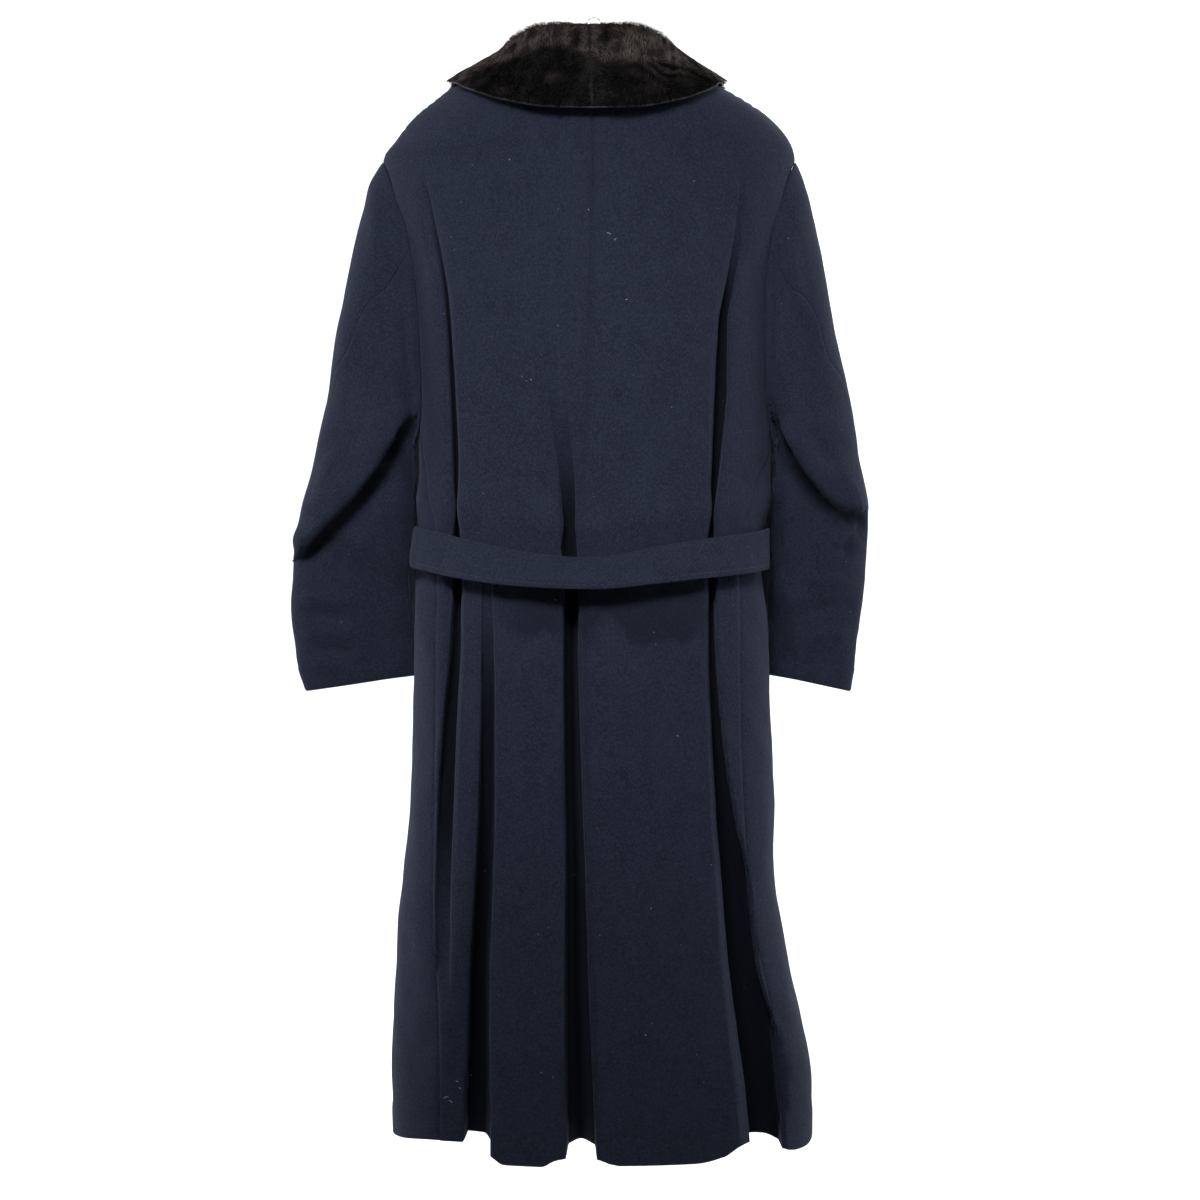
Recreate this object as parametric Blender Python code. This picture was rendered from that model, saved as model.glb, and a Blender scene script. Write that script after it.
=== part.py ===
"""Long belted wool coat with a fur collar, hollow and filled out.

Units are metres with +Z up; the tables and the shape functions work in millimetres. The origin is
the middle of the neck opening, level with the foot of the collar at the side. The coat's back faces
+Y and the wearer's left is +X. Every panel is a wall between an outer skin and the same skin moved
inwards, so neighbours share one smooth form and meet at their seams with a small gap.
"""
import bpy
import numpy as np

MM = 0.001

# ---- driving sizes, millimetres ----
CLOTH = 2.5            # wall of the wool cloth
SEAM_GAP = 0.3         # space left between two pieces at a seam
HEM = -1148            # height of the hem
UNDERARM = -376        # height of the armhole's lowest point
SHOULDER_TIP = -79     # height of the armhole's highest point
NECK_TOP = 28          # height of the collar seam at the side of the neck
NECK_DIP = 18          # how far the collar seam drops at the centre back
LAPEL_FOOT = -215      # height where the fronts cross and the neck opening ends
FRONT_LAP = 45         # each front reaches this far past the centre front
UNDER_STEP = 5.0       # the under front lies this far inside the upper one
LAP_FADE = 60          # width over which the under front sinks below the upper one
FUR_FALL = 10          # depth of the fur on the fall of the collar
FUR_STAND = 6          # depth of the fur on the inside of the stand
UNDER_COLLAR = 2.0     # wall of the cloth under the fur
COLLAR_LIFT = 1.4      # height of the collar's foot above the cut edge of the neck
BELT_WIDTH = 44
BELT_THICK = 4.0
BELT_EASE = 1.0        # space between the belt and the crest of the folds
BELT_LEVEL = -535      # height of the belt at the sides
HUG = 22               # how far the inner front of each sleeve leans in towards the body
HUG_TURN = 222         # and the place round the sleeve where it leans in most, in degrees
HUG_CLEAR = 5.0        # space kept between the sleeve and the body's smooth form
HUG_BELT = 7.0         # and this much more beside the belt
FRONT_LIFT = 0.5       # and this much more along the fronts
CHAIN_WIRE = 1.3       # radius of the hanging chain
CHAIN_TOP = 57.5       # height of the hanging loop
CHAIN_OFF = 1.5        # it stands this far off the smooth form of the fur

# ---- the body, a row for each height ----
# height, centre x, half width, back depth, front depth, squareness (2 is an ellipse)
BODY = (
    (-1148, -14, 229, 150, 142, 2.3),
    (-1080, -13, 230, 148, 140, 2.3),
    (-1020, -9, 224, 145, 138, 2.3),
    (-960, -3, 215, 142, 136, 2.3),
    (-900, 1, 208, 139, 134, 2.35),
    (-860, 1, 203, 137, 132, 2.4),
    (-780, -3, 199, 133, 130, 2.4),
    (-680, -2, 195, 128, 127, 2.5),
    (-600, -1.5, 194, 123, 123, 2.5),
    (-530, 0, 190, 117, 118, 2.5),
    (-470, -3, 190.5, 118, 120, 2.5),
    (-410, -6, 192.5, 122, 126, 2.45),
    (-340, -4.5, 194, 126, 130, 2.4),
    (-250, -2, 201, 129, 128, 2.35),
    (-170, 0, 212, 126, 120, 2.3),
    (-120, 1, 224, 121, 112, 2.2),
    (-79, 1, 226, 116, 103, 2.1),
    (-57, -3, 215, 112, 97, 2.1),
    (-33, -2, 195, 105, 90, 2.05),
    (-15, 0, 172, 98, 83, 2.0),
    (0, 3, 148, 91, 76, 2.0),
    (14, 2, 115, 81, 69, 2.0),
    (28, 0, 80, 70, 62, 2.0),
)

# ---- armholes: height, angle of the back seam, angle of the front seam, degrees from the side ----
ARMHOLE = (
    (-376, 10, -10),
    (-371, 13, -5),
    (-350, 17, 6),
    (-305, 20, 18),
    (-260, 23, 25),
    (-210, 24.5, 27),
    (-160, 24.5, 27),
    (-125, 21.5, 24),
    (-100, 16, 18),
    (-86, 9, 10),
    (-79, 0, 0),
)

# ---- side seams below the arm, which run a little onto the back: height, left x, right x ----
SIDE_SEAM = (
    (-1148, 157, -206),
    (-1060, 158, -198),
    (-990, 159, -192),
    (-930, 164, -180),
    (-860, 166, -169),
    (-740, 165, -162),
    (-620, 164, -160),
    (-490, 165, -162),
    (-440, 172, -175),
    (-398, 181, -194.5),
    (-376, 184, -196),
)

# ---- how far the hem rises above its lowest line, round the back half: x, rise ----
HEM_RISE = (
    (-245, 0),
    (-215, 4),
    (-185, 18),
    (-161, 19),
    (-140, 9),
    (-110, 4),
    (-30, 4),
    (-10, 10),
    (9, 13),
    (35, 9),
    (50, 2),
    (88, 2),
    (100, 9),
    (112, 18),
    (160, 20),
    (205, 12),
    (240, 0),
)
HEM_FADE = 60          # height above the hem at which the rise has faded out

# ---- centre back seam: height, x ----
CENTRE_SEAM = (
    (-1148, -11),
    (-950, -2),
    (-840, 1),
    (-720, 4),
    (-600, 7),
    (-489, 9),
    (-435, 9),
    (-370, 4),
    (-250, 1),
    (-70, -3),
    (28, -3),
)

# ---- neckline of the fronts: height, distance from the middle ----
NECKLINE = (
    (-215, 38),
    (-150, 53),
    (-100, 63),
    (-57, 71),
    (-33, 75),
    (-14, 77),
    (2, 79),
    (15, 78.5),
    (28, 74),
)

# ---- folds, a row for each height ----
# height, x of the deepest line, half width towards the centre, half width away from it, depth
BACK_FOLDS = {
    "left_blade": (
        (-1000, 148, 10, 12, 0),
        (-850, 147, 10, 14, 8),
        (-760, 145, 8, 16, 20),
        (-696, 143, 8, 17, 27),
        (-600, 139, 7, 20, 31),
        (-489, 140, 6, 18, 28),
        (-410, 141, 6, 18, 24),
        (-334, 144, 6, 18, 20),
        (-243, 150, 7, 20, 15),
        (-175, 161, 9, 22, 7),
        (-100, 177, 12, 25, 0),
    ),
    "left_flute": (
        (-1148, 112, 12, 66, 62),
        (-1080, 112, 11, 58, 60),
        (-978, 112, 10, 38, 54),
        (-873, 108, 9, 24, 42),
        (-770, 104, 8, 20, 28),
        (-665, 103, 7, 16, 14),
        (-590, 104, 7, 14, 6),
        (-530, 106, 8, 14, 0),
    ),
    "centre": (
        (-1148, 9, 20, 18, 74),
        (-950, 14, 16, 11, 62),
        (-840, 15, 14, 10, 54),
        (-760, 17, 12, 9, 48),
        (-600, 19, 11, 9, 38),
        (-557, 19, 11, 9, 32),
        (-489, 20, 10, 9, 18),
        (-435, 22, 9, 10, 9),
        (-370, 30, 10, 13, 3),
        (-320, 35, 12, 15, 0),
    ),
    "right_blade": (
        (-1148, -173, 16, 29, 44),
        (-1080, -167, 15, 28, 50),
        (-1023, -159, 14, 30, 52),
        (-938, -148, 12, 27, 52),
        (-850, -141, 10, 22, 48),
        (-780, -135, 9, 18, 43),
        (-700, -131, 8, 12, 36),
        (-600, -128, 7, 9, 28),
        (-489, -128, 7, 9, 26),
        (-420, -131, 7, 12, 27),
        (-345, -134, 8, 14, 25),
        (-265, -138, 8, 14, 17),
        (-220, -147, 10, 16, 9),
        (-165, -156, 12, 18, 4),
        (-110, -160, 14, 20, 0),
    ),
}
FRONT_FOLDS = {
    "left_front": (
        (-1148, 118, 22, 34, 46),
        (-900, 112, 18, 26, 34),
        (-700, 108, 14, 20, 20),
        (-560, 106, 12, 18, 8),
        (-470, 106, 12, 18, 0),
    ),
    "right_front": (
        (-1148, -124, 26, 32, 40),
        (-900, -120, 20, 26, 30),
        (-700, -112, 14, 20, 18),
        (-560, -108, 12, 18, 7),
        (-470, -108, 12, 18, 0),
    ),
}

# ---- sleeves, a row for each section from the armhole to the cuff ----
# outer x, outer height, inner x, inner height, middle y, half depth
SLEEVE_LEFT = (
    (223, -79, 187, -376, 0, 58),
    (245, -129, 191, -392, 1, 60),
    (262, -190, 192, -410, 1, 60),
    (274, -250, 194, -432, 0, 58),
    (287, -325, 196, -458, -6, 55),
    (301, -388, 198, -486, -15, 51),
    (320.5, -458, 198.5, -515, -26, 47),
    (331, -515, 197, -550, -36, 44),
    (334, -570, 194, -592, -45, 41),
    (331, -622, 191, -625, -53, 38),
    (321, -663, 190, -643, -58, 35),
)
SLEEVE_RIGHT = (
    (-224, -79, -198, -376, 0, 58),
    (-240, -129, -201, -392, 1, 60),
    (-256, -190, -202, -410, 1, 60),
    (-268, -262, -202.5, -432, 0, 58),
    (-283, -327, -202.5, -458, -6, 55),
    (-296, -397, -201.5, -486, -15, 51),
    (-310, -462, -200, -515, -26, 47),
    (-308, -520, -198.5, -550, -36, 44),
    (-303, -572, -196.5, -592, -45, 41),
    (-298, -622, -194, -625, -53, 38),
    (-293, -663, -193, -641, -58, 35),
)
SLEEVE_SQUARE = 2.3
CAP_BLEND = 3.0        # sections over which the armhole's own line fades into the sleeve's ovals

# ---- sleeve seams: section, angle of the back seam, angle of the front seam, degrees ----
# 0 is the outer edge, 90 the back, 180 the inner edge, 270 the front
SLEEVE_SEAM = (
    (0, 72, 288),
    (1, 72, 278),
    (2, 62, 252),
    (3, 56, 226),
    (4, 22, 200),
    (5, -18, 176),
    (6, -36, 160),
    (8, -42, 156),
    (10, -42, 156),
)

# ---- the slanting elbow fold: sections past the line x, height, across the back of the sleeve ----
ELBOW_LEFT = ((192, -366), (206, -384), (222, -415), (244, -442), (274, -471), (290, -487), (316, -506))
ELBOW_RIGHT = ((-198, -366), (-202, -390), (-216, -412), (-230, -430), (-248, -452), (-270, -470), (-305, -462))
ELBOW_DROP = 10        # the forearm's cloth lies this far under the upper sleeve's
ELBOW_SOFT = 12        # width over which it drops

# ---- the collar, a row for each station from the centre back to the front end ----
# seam: angle from the centre back and height; roll: rise above the seam and reach outwards;
# edge: angle from the centre back, height, distance off the cloth
COLLAR = (
    (0, 28, 35, 4, 0, -49, 12),
    (22, 28, 33, 3, 12, -47, 11),
    (45, 28, 22, 1, 25, -37, 7),
    (67, 28, 14, 1, 42, -21, 3.5),
    (84, 28, 12, 1, 67, -3, 2.5),
    (103, 27, 12, 1, 93, 2, 2.5),
    (128, 19, 12, 2, 116, -12, 2.5),
    (149, 0, 14, 3, 134, -42, 2.5),
    (158, -38, 12, 2, 146, -80, 2.5),
    (163.5, -85, 11, 1, 154, -124, 2.5),
    (168.5, -150, 11, 0, 160, -176, 2.5),
    (171.5, -203, 11, 0, 164, -212, 2.5),
)
ROLL_RADIUS = 5.5      # the cloth turns over the roll of the collar at this radius
FALL_SWELL = 0.5       # the fall bellies out by this much

# ---- the belt: angle round the body from the wearer's left, middle height, lean, clearance ----
BELT = (
    (0, -500, 3),
    (30, -507, 10),
    (60, -521, 24),
    (75, -528, 34),
    (90, -532, 40),
    (105, -524, 29),
    (120, -517.5, 21),
    (150, -509, 10),
    (180, -503, 3),
    (225, -508, 2),
    (270, -512, 0),
    (315, -508, 2),
    (360, -500, 3),
)
BELT_LAP = 28          # degrees by which one belt end laps over the other at the front
COLUMN_GAP = 0.9       # least turn between two columns of a panel, in degrees


def curve(table, column, at):
    """A smooth line through one column of a table whose first column is the position."""
    rows = sorted(table)
    xs = np.array([row[0] for row in rows], float)
    ys = np.array([row[column] for row in rows], float)
    at = np.clip(np.asarray(at, float), xs[0], xs[-1])
    rise = np.diff(ys) / np.diff(xs)
    slope = np.zeros(len(xs))
    for i in range(1, len(xs) - 1):
        if rise[i - 1] * rise[i] > 0:
            slope[i] = 2 * rise[i - 1] * rise[i] / (rise[i - 1] + rise[i])
    slope[0], slope[-1] = rise[0], rise[-1]
    i = np.clip(np.searchsorted(xs, at) - 1, 0, len(xs) - 2)
    step = xs[i + 1] - xs[i]
    t = (at - xs[i]) / step
    return (ys[i] * (1 + 2 * t) * (1 - t) ** 2 + ys[i + 1] * t * t * (3 - 2 * t)
            + step * slope[i] * t * (1 - t) ** 2 - step * slope[i + 1] * t * t * (1 - t))


def ease(t):
    """0 to 1 with a soft start and end."""
    t = np.clip(t, 0, 1)
    return t * t * (3 - 2 * t)


def power(value, exponent):
    return np.sign(value) * np.abs(value) ** exponent


def unit(vectors):
    return vectors / np.maximum(np.linalg.norm(vectors, axis=-1, keepdims=True), 1e-9)


def fold_depth(folds, x, height):
    """How far all the folds of a table draw the cloth in at x and height."""
    total = np.zeros(np.broadcast(x, height).shape)
    for rows in folds.values():
        inside = (height >= rows[0][0]) & (height <= rows[-1][0])
        middle = curve(rows, 1, height)
        side = np.sign(middle)
        off = (x - middle) * side
        half = np.where(off < 0, curve(rows, 2, height), curve(rows, 3, height))
        t = np.clip(np.abs(off) / half, 0, 1)
        total += np.where(inside, curve(rows, 4, height) * (0.5 + 0.5 * np.cos(np.pi * t)), 0)
    return total


def body(angle, height, folded=True):
    """A point of the body's outer skin; the angle is in degrees from the wearer's left."""
    angle = np.radians(angle)
    height = np.asarray(height, float)
    half = curve(BODY, 2, height)
    bend = 2 / curve(BODY, 5, height)
    x = curve(BODY, 1, height) + half * power(np.cos(angle), bend)
    behind = np.sin(angle) >= 0
    depth = np.where(behind, curve(BODY, 3, height), curve(BODY, 4, height))
    y = depth * power(np.sin(angle), bend)
    if folded:
        y = np.where(behind, y - fold_depth(BACK_FOLDS, x, height), y + fold_depth(FRONT_FOLDS, x, height))
    return np.stack(np.broadcast_arrays(x, y, height), -1)


def body_normal(angle, height):
    """The outward direction of the body's skin, read across a small step each way."""
    turn, rise = 0.6, 1.5
    across = body(angle + turn, height) - body(angle - turn, height)
    up = body(angle, np.minimum(height + rise, NECK_TOP)) - body(angle, np.maximum(height - rise, HEM))
    return unit(np.cross(across, up))


def angle_of(x, height):
    """The angle on the back half at which the unfolded skin reaches x, and its mirror on the front."""
    half = curve(BODY, 2, height)
    share = np.clip((x - curve(BODY, 1, height)) / half, -1, 1)
    return np.degrees(np.arccos(power(share, curve(BODY, 5, height) / 2)))


def side_edge(height, left, back):
    """Angle of a panel's outer edge: side seam below the arm, armhole above it, then the shoulder."""
    height = np.asarray(height, float)
    start = 0 if left else 180
    turn = 1 if left else -1
    seam = angle_of(curve(SIDE_SEAM, 1 if left else 2, height), height)
    hole = start + turn * curve(ARMHOLE, 1 if back else 2, height) * (1 if back else -1)
    edge = np.where(height < UNDERARM, seam, hole)
    return np.where(height > SHOULDER_TIP, start, edge)


def seam_normal(left, phi):
    """The offset shared by body and sleeve along the armhole, so that their walls are mitred."""
    height, angle = armhole(left, phi)
    of_body = body_normal(angle, height)
    of_sleeve = sleeve_normal(left, np.full(np.shape(phi), 0.25), phi)
    mitre = unit(of_body + of_sleeve)
    return mitre / np.maximum((mitre * of_body).sum(-1, keepdims=True), 0.5)


def armhole(left, phi):
    """Height and body angle of the armhole's seam at phi degrees round it from the shoulder tip."""
    middle = (SHOULDER_TIP + UNDERARM) / 2
    reach = (SHOULDER_TIP - UNDERARM) / 2
    phi = np.asarray(phi, float)
    height = middle + reach * np.cos(np.radians(phi))
    back = np.sin(np.radians(phi)) >= 0
    off = np.where(back, curve(ARMHOLE, 1, height), -curve(ARMHOLE, 2, height))
    return height, (off if left else 180 - off)


def armhole_phi(height, back):
    """The phi at which the armhole's seam passes a height, on its back or its front half."""
    middle = (SHOULDER_TIP + UNDERARM) / 2
    reach = (SHOULDER_TIP - UNDERARM) / 2
    phi = np.degrees(np.arccos(np.clip((np.asarray(height, float) - middle) / reach, -1, 1)))
    return phi if back else 360 - phi


def oval(left, section, phi):
    """A point of a sleeve's plain oval section."""
    rows = [(i, *row) for i, row in enumerate(SLEEVE_LEFT if left else SLEEVE_RIGHT)]
    ox, oz, ix, iz, y, deep = (curve(rows, column, section) for column in range(1, 7))
    phi = np.radians(phi)
    bend = 2 / SLEEVE_SQUARE
    along = power(np.cos(phi), bend)
    x = (ox + ix) / 2 + (ox - ix) / 2 * along
    z = (oz + iz) / 2 + (oz - iz) / 2 * along
    return np.stack(np.broadcast_arrays(x, y + deep * power(np.sin(phi), bend), z), -1)


def line_side(line, x, z):
    """Signed distance from a bent line in the front view: positive on its lower inner side."""
    best = np.full(np.shape(x), 1e9)
    sign = np.ones(np.shape(x))
    for (ax, az), (bx, bz) in zip(line[:-1], line[1:]):
        dx, dz = bx - ax, bz - az
        t = np.clip(((x - ax) * dx + (z - az) * dz) / (dx * dx + dz * dz), 0, 1)
        away = np.hypot(x - ax - t * dx, z - az - t * dz)
        turn = dx * (z - az) - dz * (x - ax)
        sign = np.where(away < best, np.sign(turn), sign)
        best = np.minimum(best, away)
    return best * sign * (-1 if line[-1][0] > 0 else 1)


def hug_body(left, point, section, phi):
    """Brings the inner front of a hanging sleeve in against the body, and no nearer than its clearance."""
    side = 1 if left else -1
    x, y, z = point[..., 0], point[..., 1], point[..., 2]
    bend = curve(BODY, 5, z)
    deep = np.where(y >= 0, curve(BODY, 3, z), curve(BODY, 4, z))
    wide = curve(BODY, 2, z) * np.clip(1 - (np.abs(y) / deep) ** bend, 0, 1) ** (1 / bend)
    clear = HUG_CLEAR + HUG_BELT * np.exp(-((z - BELT_LEVEL) / BELT_WIDTH) ** 2)
    limit = side * curve(BODY, 1, z) + wide + clear
    push = HUG * np.clip(np.cos(np.radians(phi - HUG_TURN)), 0, 1) ** 3 * ease((section - 0.8) / 2)
    push = push * (1 - 0.5 * ease((section - 7) / 3))
    return side * np.maximum(side * x - push, np.minimum(side * x, limit))


def sleeve(left, section, phi):
    """A point of a sleeve's outer skin at a section number and phi degrees round it."""
    section = np.asarray(section, float)
    point = oval(left, section, phi)
    height, angle = armhole(left, phi)
    start = body(angle, height)
    fade = 1 - ease(section / CAP_BLEND)
    point = point + (start - oval(left, np.zeros_like(section), phi)) * fade[..., None]
    line = ELBOW_LEFT if left else ELBOW_RIGHT
    under = ease(0.5 + line_side(line, point[..., 0], point[..., 2]) / ELBOW_SOFT)
    behind = np.clip(np.sin(np.radians(phi)), 0, 1) ** 0.5 * ease(section / 1.5)
    drop = np.zeros_like(point)
    drop[..., 1] = -ELBOW_DROP * under * behind
    point = point + drop
    point[..., 0] = hug_body(left, point, section, phi)
    return point


def sleeve_normal(left, section, phi):
    turn, step = 4.0, 0.12
    across = sleeve(left, section, phi + turn) - sleeve(left, section, phi - turn)
    last = len(SLEEVE_LEFT) - 1
    down = (sleeve(left, np.minimum(section + step, last), phi)
            - sleeve(left, np.maximum(section - step, 0), phi))
    normal = unit(np.cross(across, down))
    return -normal if left else normal


def wall(outer, inner):
    """Vertices and triangles of a closed wall between two grids of points.

    Every cell is cut along the same diagonal, and each rim from its lower outer corner, so that two
    walls with a common edge or a common layer match along it.
    """
    rows, columns = outer.shape[:2]
    count = rows * columns
    points = np.concatenate([outer.reshape(-1, 3), inner.reshape(-1, 3)])
    at = np.arange(count).reshape(rows, columns).tolist()
    faces = []
    for r in range(rows - 1):
        for c in range(columns - 1):
            a, b, d, e = at[r][c], at[r][c + 1], at[r + 1][c + 1], at[r + 1][c]
            faces += [(a, b, d), (a, d, e)]
            faces += [(d + count, b + count, a + count), (e + count, d + count, a + count)]
    rim = ([(r, 0) for r in range(rows)] + [(rows - 1, c) for c in range(1, columns)]
           + [(r, columns - 1) for r in range(rows - 2, -1, -1)] + [(0, c) for c in range(columns - 2, 0, -1)])
    for (r, c), (s, d) in zip(rim, rim[1:] + rim[:1]):
        a, b = at[r][c], at[s][d]
        if points[a][2] < points[b][2]:
            faces += [(a, b, b + count), (a, b + count, a + count)]
        else:
            faces += [(a, b, a + count), (b, b + count, a + count)]
    return points * MM, faces


def finish(name, colour, roughness, metallic=0.0):
    """A plain material for one piece."""
    material = bpy.data.materials.new(name)
    material.use_nodes = True
    shader = material.node_tree.nodes["Principled BSDF"]
    shader.inputs["Base Color"].default_value = (*colour, 1)
    shader.inputs["Roughness"].default_value = roughness
    shader.inputs["Metallic"].default_value = metallic
    return material


def volume(points, faces):
    """Signed volume inside a closed mesh of triangles."""
    a, b, c = (points[np.array(faces)[:, i]] for i in range(3))
    return np.einsum("ij,ij->i", a, np.cross(b, c)).sum() / 6


def add_wall(name, outer, inner, colour, roughness):
    """One piece of cloth or fur as a closed mesh object with its faces pointing out."""
    points, faces = wall(outer, inner)
    if volume(points, faces) < 0:
        faces = [face[::-1] for face in faces]
    mesh = bpy.data.meshes.new(name)
    mesh.from_pydata([tuple(p) for p in points.tolist()], [], faces)
    mesh.update()
    mesh.shade_smooth()
    mesh.materials.append(finish(name, colour, roughness))
    piece = bpy.data.objects.new(name, mesh)
    COLLECTION.objects.link(piece)
    return piece


WOOL = (0.018, 0.023, 0.036)
FUR = (0.030, 0.024, 0.022)
STEEL = (0.62, 0.62, 0.60)

# ---- rows and columns of the body's panels ----
ARM_ROWS = (-376, -371, -348, -295, -235, -175, -125, -95, -79)
LOWER_ROWS = (-1148, -1085, -1000, -920, -840, -760, -680, -605, -545, -485, -435, -398)
SHOULDER_ROWS = (-57, -33, -14, 2, 15, 28)
BODY_ROWS = LOWER_ROWS + ARM_ROWS + SHOULDER_ROWS


def fold_tracks(folds, names, height):
    """x of the lips, the walls and the bottom of each named fold, from the centre outwards."""
    tracks = []
    for name in names:
        rows = folds[name]
        middle = curve(rows, 1, height)
        side = np.sign(middle)
        near, far = side * curve(rows, 2, height), side * curve(rows, 3, height)
        tracks += [middle - near, middle - near / 2, middle, middle + far / 2, middle + far]
    return tracks


def panel_angles(back, edges, names, rows, steps):
    """A grid of angles from the centre edge to the outer edge, with columns along the folds."""
    folds = BACK_FOLDS if back else FRONT_FOLDS
    tracks = [edges[0]]
    for x in fold_tracks(folds, names, rows):
        angle = angle_of(x, rows)
        tracks.append(angle if back else 360 - angle)
    tracks.append(edges[1])
    towards = np.sign(edges[1] - edges[0])
    grid = [tracks[0]]
    for track in tracks[1:-1]:
        low = grid[-1] + towards * COLUMN_GAP
        track = np.where((track - low) * towards < 0, low, track)
        left_over = len(tracks) - 1 - len(grid)
        high = edges[1] - towards * COLUMN_GAP * left_over
        grid.append(np.where((track - high) * towards > 0, high, track))
    grid.append(edges[1])
    columns = [grid[0]]
    for k, (a, b) in enumerate(zip(grid[:-1], grid[1:])):
        parts = steps.get(k, 1)
        columns += [a + (b - a) * i / parts for i in range(1, parts + 1)]
    return np.stack(columns, 1)


def inset(points, gap, first=True, last=True):
    """Draws the first and last columns of a grid in by half the seam gap."""
    points = points.copy()
    if first:
        points[:, 0] += unit(points[:, 1] - points[:, 0]) * gap / 2
    if last:
        points[:, -1] += unit(points[:, -2] - points[:, -1]) * gap / 2
    return points


def make_back(left):
    """Half of the back, from the hem to the neck, with its folds."""
    rows = np.array(BODY_ROWS, float)
    centre = angle_of(curve(CENTRE_SEAM, 1, rows), rows)
    outer_edge = side_edge(rows, left, True)
    names = ("centre", "left_flute", "left_blade") if left else ("right_blade",)
    steps = {0: 1, 5: 3, 10: 1, 15: 2} if left else {0: 6, 5: 2}
    angles = panel_angles(True, (centre, outer_edge), names, rows, steps)
    heights = settle(angles, np.repeat(rows[:, None], angles.shape[1], 1))
    return body_panel("back_left" if left else "back_right", left, True, angles, heights)


def settle(angles, heights):
    """Moves the rows of a panel up along the uneven hem and down towards the centre back neck."""
    x = body(angles, heights, False)[..., 0]
    behind = np.sin(np.radians(angles)) > 0
    rise = np.where(behind, curve(HEM_RISE, 1, x), 0) * ease((HEM + HEM_FADE - heights) / HEM_FADE)
    return heights + rise - np.where(behind, dip(heights) * np.sin(np.radians(angles)) ** 2, 0)


def dip(height):
    """How far a row near the neck sags towards the centre back."""
    return NECK_DIP * ease((height + 60) / (NECK_TOP + 60))


def facet_normals(grid, shared):
    """Inward offsets that keep the wall even: mitred between a column's two facets.

    The first and last columns take the shared direction instead, so that neighbours agree there.
    """
    up = np.gradient(grid, axis=0)
    along = np.diff(grid, axis=1)
    before = unit(np.cross(along[:, :-1], up[:, 1:-1]))
    after = unit(np.cross(along[:, 1:], up[:, 1:-1]))
    mitre = unit(before + after)
    length = 1 / np.maximum((mitre * before).sum(-1, keepdims=True), 0.45)
    out = shared.copy()
    facing = np.sign((mitre * shared[:, 1:-1]).sum(-1, keepdims=True))
    out[:, 1:-1] = mitre * length * facing
    return out


def body_panel(name, left, back, angles, heights, sink=None):
    outer = body(angles, heights)
    normal = body_normal(angles, heights)
    arm = np.array([UNDERARM <= row <= SHOULDER_TIP for row in BODY_ROWS])
    phi = armhole_phi(heights[arm, -1], back)
    normal[arm, -1] = seam_normal(left, phi)
    if sink is not None:
        outer = outer - normal * sink[..., None]
    inner = outer - facet_normals(outer, normal) * CLOTH
    return add_wall(name, inset(outer, SEAM_GAP), inset(inner, SEAM_GAP), WOOL, 0.9)


def front_edge(height, left):
    """Angle of a front's free edge: past the centre below, along the neckline above."""
    side = 1 if left else -1
    blend = ease((height - LAPEL_FOOT) / 40)
    x = side * (curve(NECKLINE, 1, height) * blend - FRONT_LAP * (1 - blend))
    return 360 - angle_of(x, height)


def make_front(left):
    """One front, from the side seam round to its free edge; the right one laps over the left."""
    rows = np.array(BODY_ROWS, float)
    free = front_edge(rows, left)
    outer_edge = side_edge(rows, left, False)
    outer_edge = outer_edge + 360 if left else outer_edge
    names = ("left_front",) if left else ("right_front",)
    angles = panel_angles(False, (free, outer_edge), names, rows, {0: 4, 5: 3})
    heights = settle(angles, np.repeat(rows[:, None], angles.shape[1], 1))
    sink = None
    if left:
        x = body(angles, heights)[..., 0]
        lapped = 1 - ease((x - FRONT_LAP) / LAP_FADE)
        sink = UNDER_STEP * lapped
    return body_panel("front_left" if left else "front_right", left, False, angles, heights, sink)


def sleeve_columns(left, top):
    """Phi of each column at each section, from one sleeve seam to the other."""
    heights = np.array(ARM_ROWS, float)
    back = armhole_phi(heights[::-1], True)
    front = armhole_phi(heights[1:-1], False)
    ring = np.concatenate([back, front])
    start_back = curve(SLEEVE_SEAM, 1, 0.0)
    start_front = curve(SLEEVE_SEAM, 2, 0.0)
    start_back = ring[np.argmin(np.abs(ring - start_back))]
    start_front = ring[np.argmin(np.abs(ring - start_front))]
    if top:
        low, high = start_front - 360, start_back
        ring = np.concatenate([ring[ring >= start_front] - 360, ring[ring <= start_back]])
    else:
        low, high = start_back, start_front
        ring = ring[(ring >= low) & (ring <= high)]
    return ring, low, high


def make_sleeve(left, top):
    """The top or the under half of a sleeve, from the armhole to the cuff."""
    ring, low, high = sleeve_columns(left, top)
    sections = np.array([0, 0.5, 1.2, 2.1, 3.1, 4.1, 5.0, 6.0, 7.2, 8.6, 10.0])
    share = (ring - low) / (high - low)
    fade = 1 - ease(sections / 1.0)
    back = curve(SLEEVE_SEAM, 1, sections)
    front = curve(SLEEVE_SEAM, 2, sections)
    true_low, true_high = (front - 360, back) if top else (back, front)
    start_low, start_high = true_low[0], true_high[0]
    near = true_low + (low - start_low) * fade
    far = true_high + (high - start_high) * fade
    phi = near[:, None] + (far - near)[:, None] * share[None, :]
    section = np.repeat(sections[:, None], len(ring), 1)
    outer = sleeve(left, section, phi)
    normal = sleeve_normal(left, section, phi)
    normal[0] = seam_normal(left, phi[0])
    inner = outer - normal * CLOTH
    outer, inner = inset(outer, SEAM_GAP), inset(inner, SEAM_GAP)
    for grid in (outer, inner):
        grid[0] += unit(grid[1] - grid[0]) * SEAM_GAP / 2
    name = f"sleeve_{'left' if left else 'right'}_{'top' if top else 'under'}"
    return add_wall(name, outer, inner, WOOL, 0.9)


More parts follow.
